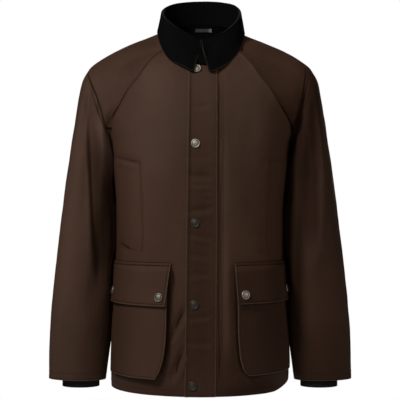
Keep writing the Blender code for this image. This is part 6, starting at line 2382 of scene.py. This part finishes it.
def make_stitches(lines):
    curve = bpy.data.curves.new("stitch_lines", "CURVE")
    curve.dimensions = "3D"
    for line in lines:
        spline = curve.splines.new("POLY")
        spline.points.add(len(line) - 1)
        spline.points.foreach_set("co", np.concatenate([line, np.ones((len(line), 1))], axis=1).ravel())
    source = add_object("stitch_lines", curve)
    modifier = source.modifiers.new("topstitch", "NODES")
    modifier.node_group = topstitch
    for item in topstitch.interface.items_tree:
        if item.name in STITCH_INPUTS:
            modifier[item.identifier] = STITCH_INPUTS[item.name]
    bpy.context.view_layer.update()
    graph = bpy.context.evaluated_depsgraph_get()
    mesh = bpy.data.meshes.new_from_object(source.evaluated_get(graph))
    mesh.name = "topstitching"
    source.modifiers.remove(modifier)
    bpy.data.objects.remove(source)
    mesh.shade_smooth()
    return add_object("topstitching", mesh)


topstitching = make_stitches(stitch_lines())
print(topstitching.name, triangles(topstitching))

# %% [markdown]
# Joining the looks to the frame
#
# Each new piece rides on the one rigid body and stands for the solid it covers, which is hidden. The table
# lists the size each cloth piece was cut to before it was sewn, and the script prints how its cloth compares.

# %% What each piece stands for
Cut = namedtuple("Cut", "piece node slot width length held rests_on area", defaults=(None,))
CUTS = table_of(
    Cut,
    (right_front, "front_right", "waxed_cotton", 0.300, 0.690, "hung", ["right_sleeve"], 0.176),
    (left_front, "front_left", "waxed_cotton", 0.300, 0.690, "hung", ["left_sleeve"], 0.176),
    (back_panel, "back", "waxed_cotton", 0.560, 0.780, "hung", ["right_sleeve", "left_sleeve"], 0.350),
    (right_sleeve, "sleeve_right", "waxed_cotton", 0.560, 0.780, "hung", ["right_front"], 0.310),
    (left_sleeve, "sleeve_left", "waxed_cotton", 0.560, 0.780, "hung", ["left_front"], 0.310),
    (cord_collar, "collar", "cord_cloth", 0.500, 0.170, "folded", ["left_front", "right_front"], 0.062),
    (storm_strip, "storm_flap", "waxed_cotton", 0.061, 0.670, "hung", ["left_front"]),
    (bags[0], "pocket_right", "waxed_cotton", 0.200, 0.225, "hung", ["right_front"], 0.040),
    (bags[1], "pocket_left", "waxed_cotton", 0.190, 0.225, "hung", ["left_front"], 0.038),
    (flaps[0], "pocket_flap_right", "waxed_cotton", 0.180, 0.100, "hung", ["right_front"]),
    (flaps[1], "pocket_flap_left", "waxed_cotton", 0.170, 0.100, "hung", ["left_front"]),
    (patches[0], "handwarmer_right", "waxed_cotton", 0.100, 0.180, "stretched", ["right_front"]),
    (patches[1], "handwarmer_left", "waxed_cotton", 0.080, 0.180, "stretched", ["left_front"]),
    (cuffs[0], "storm_cuff_right", "knitted_rib", 0.260, 0.072, "stretched", ["right_sleeve"]),
    (cuffs[1], "storm_cuff_left", "knitted_rib", 0.260, 0.072, "stretched", ["left_sleeve"]),
    (neck_patch, "neck_facing", "facing_cloth", 0.130, 0.040, "stretched", ["back_panel"]),
    (plain_bar, "neck_label", "label_cloth", 0.037, 0.010, "stretched", ["neck_patch"]),
)

for cut in CUTS:
    seen = sum(face.area for face in cut.piece.data.polygons) / 2.0
    flat = cut.area or cut.width * cut.length
    print(f"{cut.piece.name}: cloth {seen:.4f} square metres, cut {flat:.4f}, ratio {seen / flat:.2f}")
    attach(cut.piece, "root")
    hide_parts(cut.node)
for node, cap in caps.items():
    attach(cap, "root")
    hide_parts(node)
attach(topstitching, "root")
print("cut pieces:", len(CUTS))
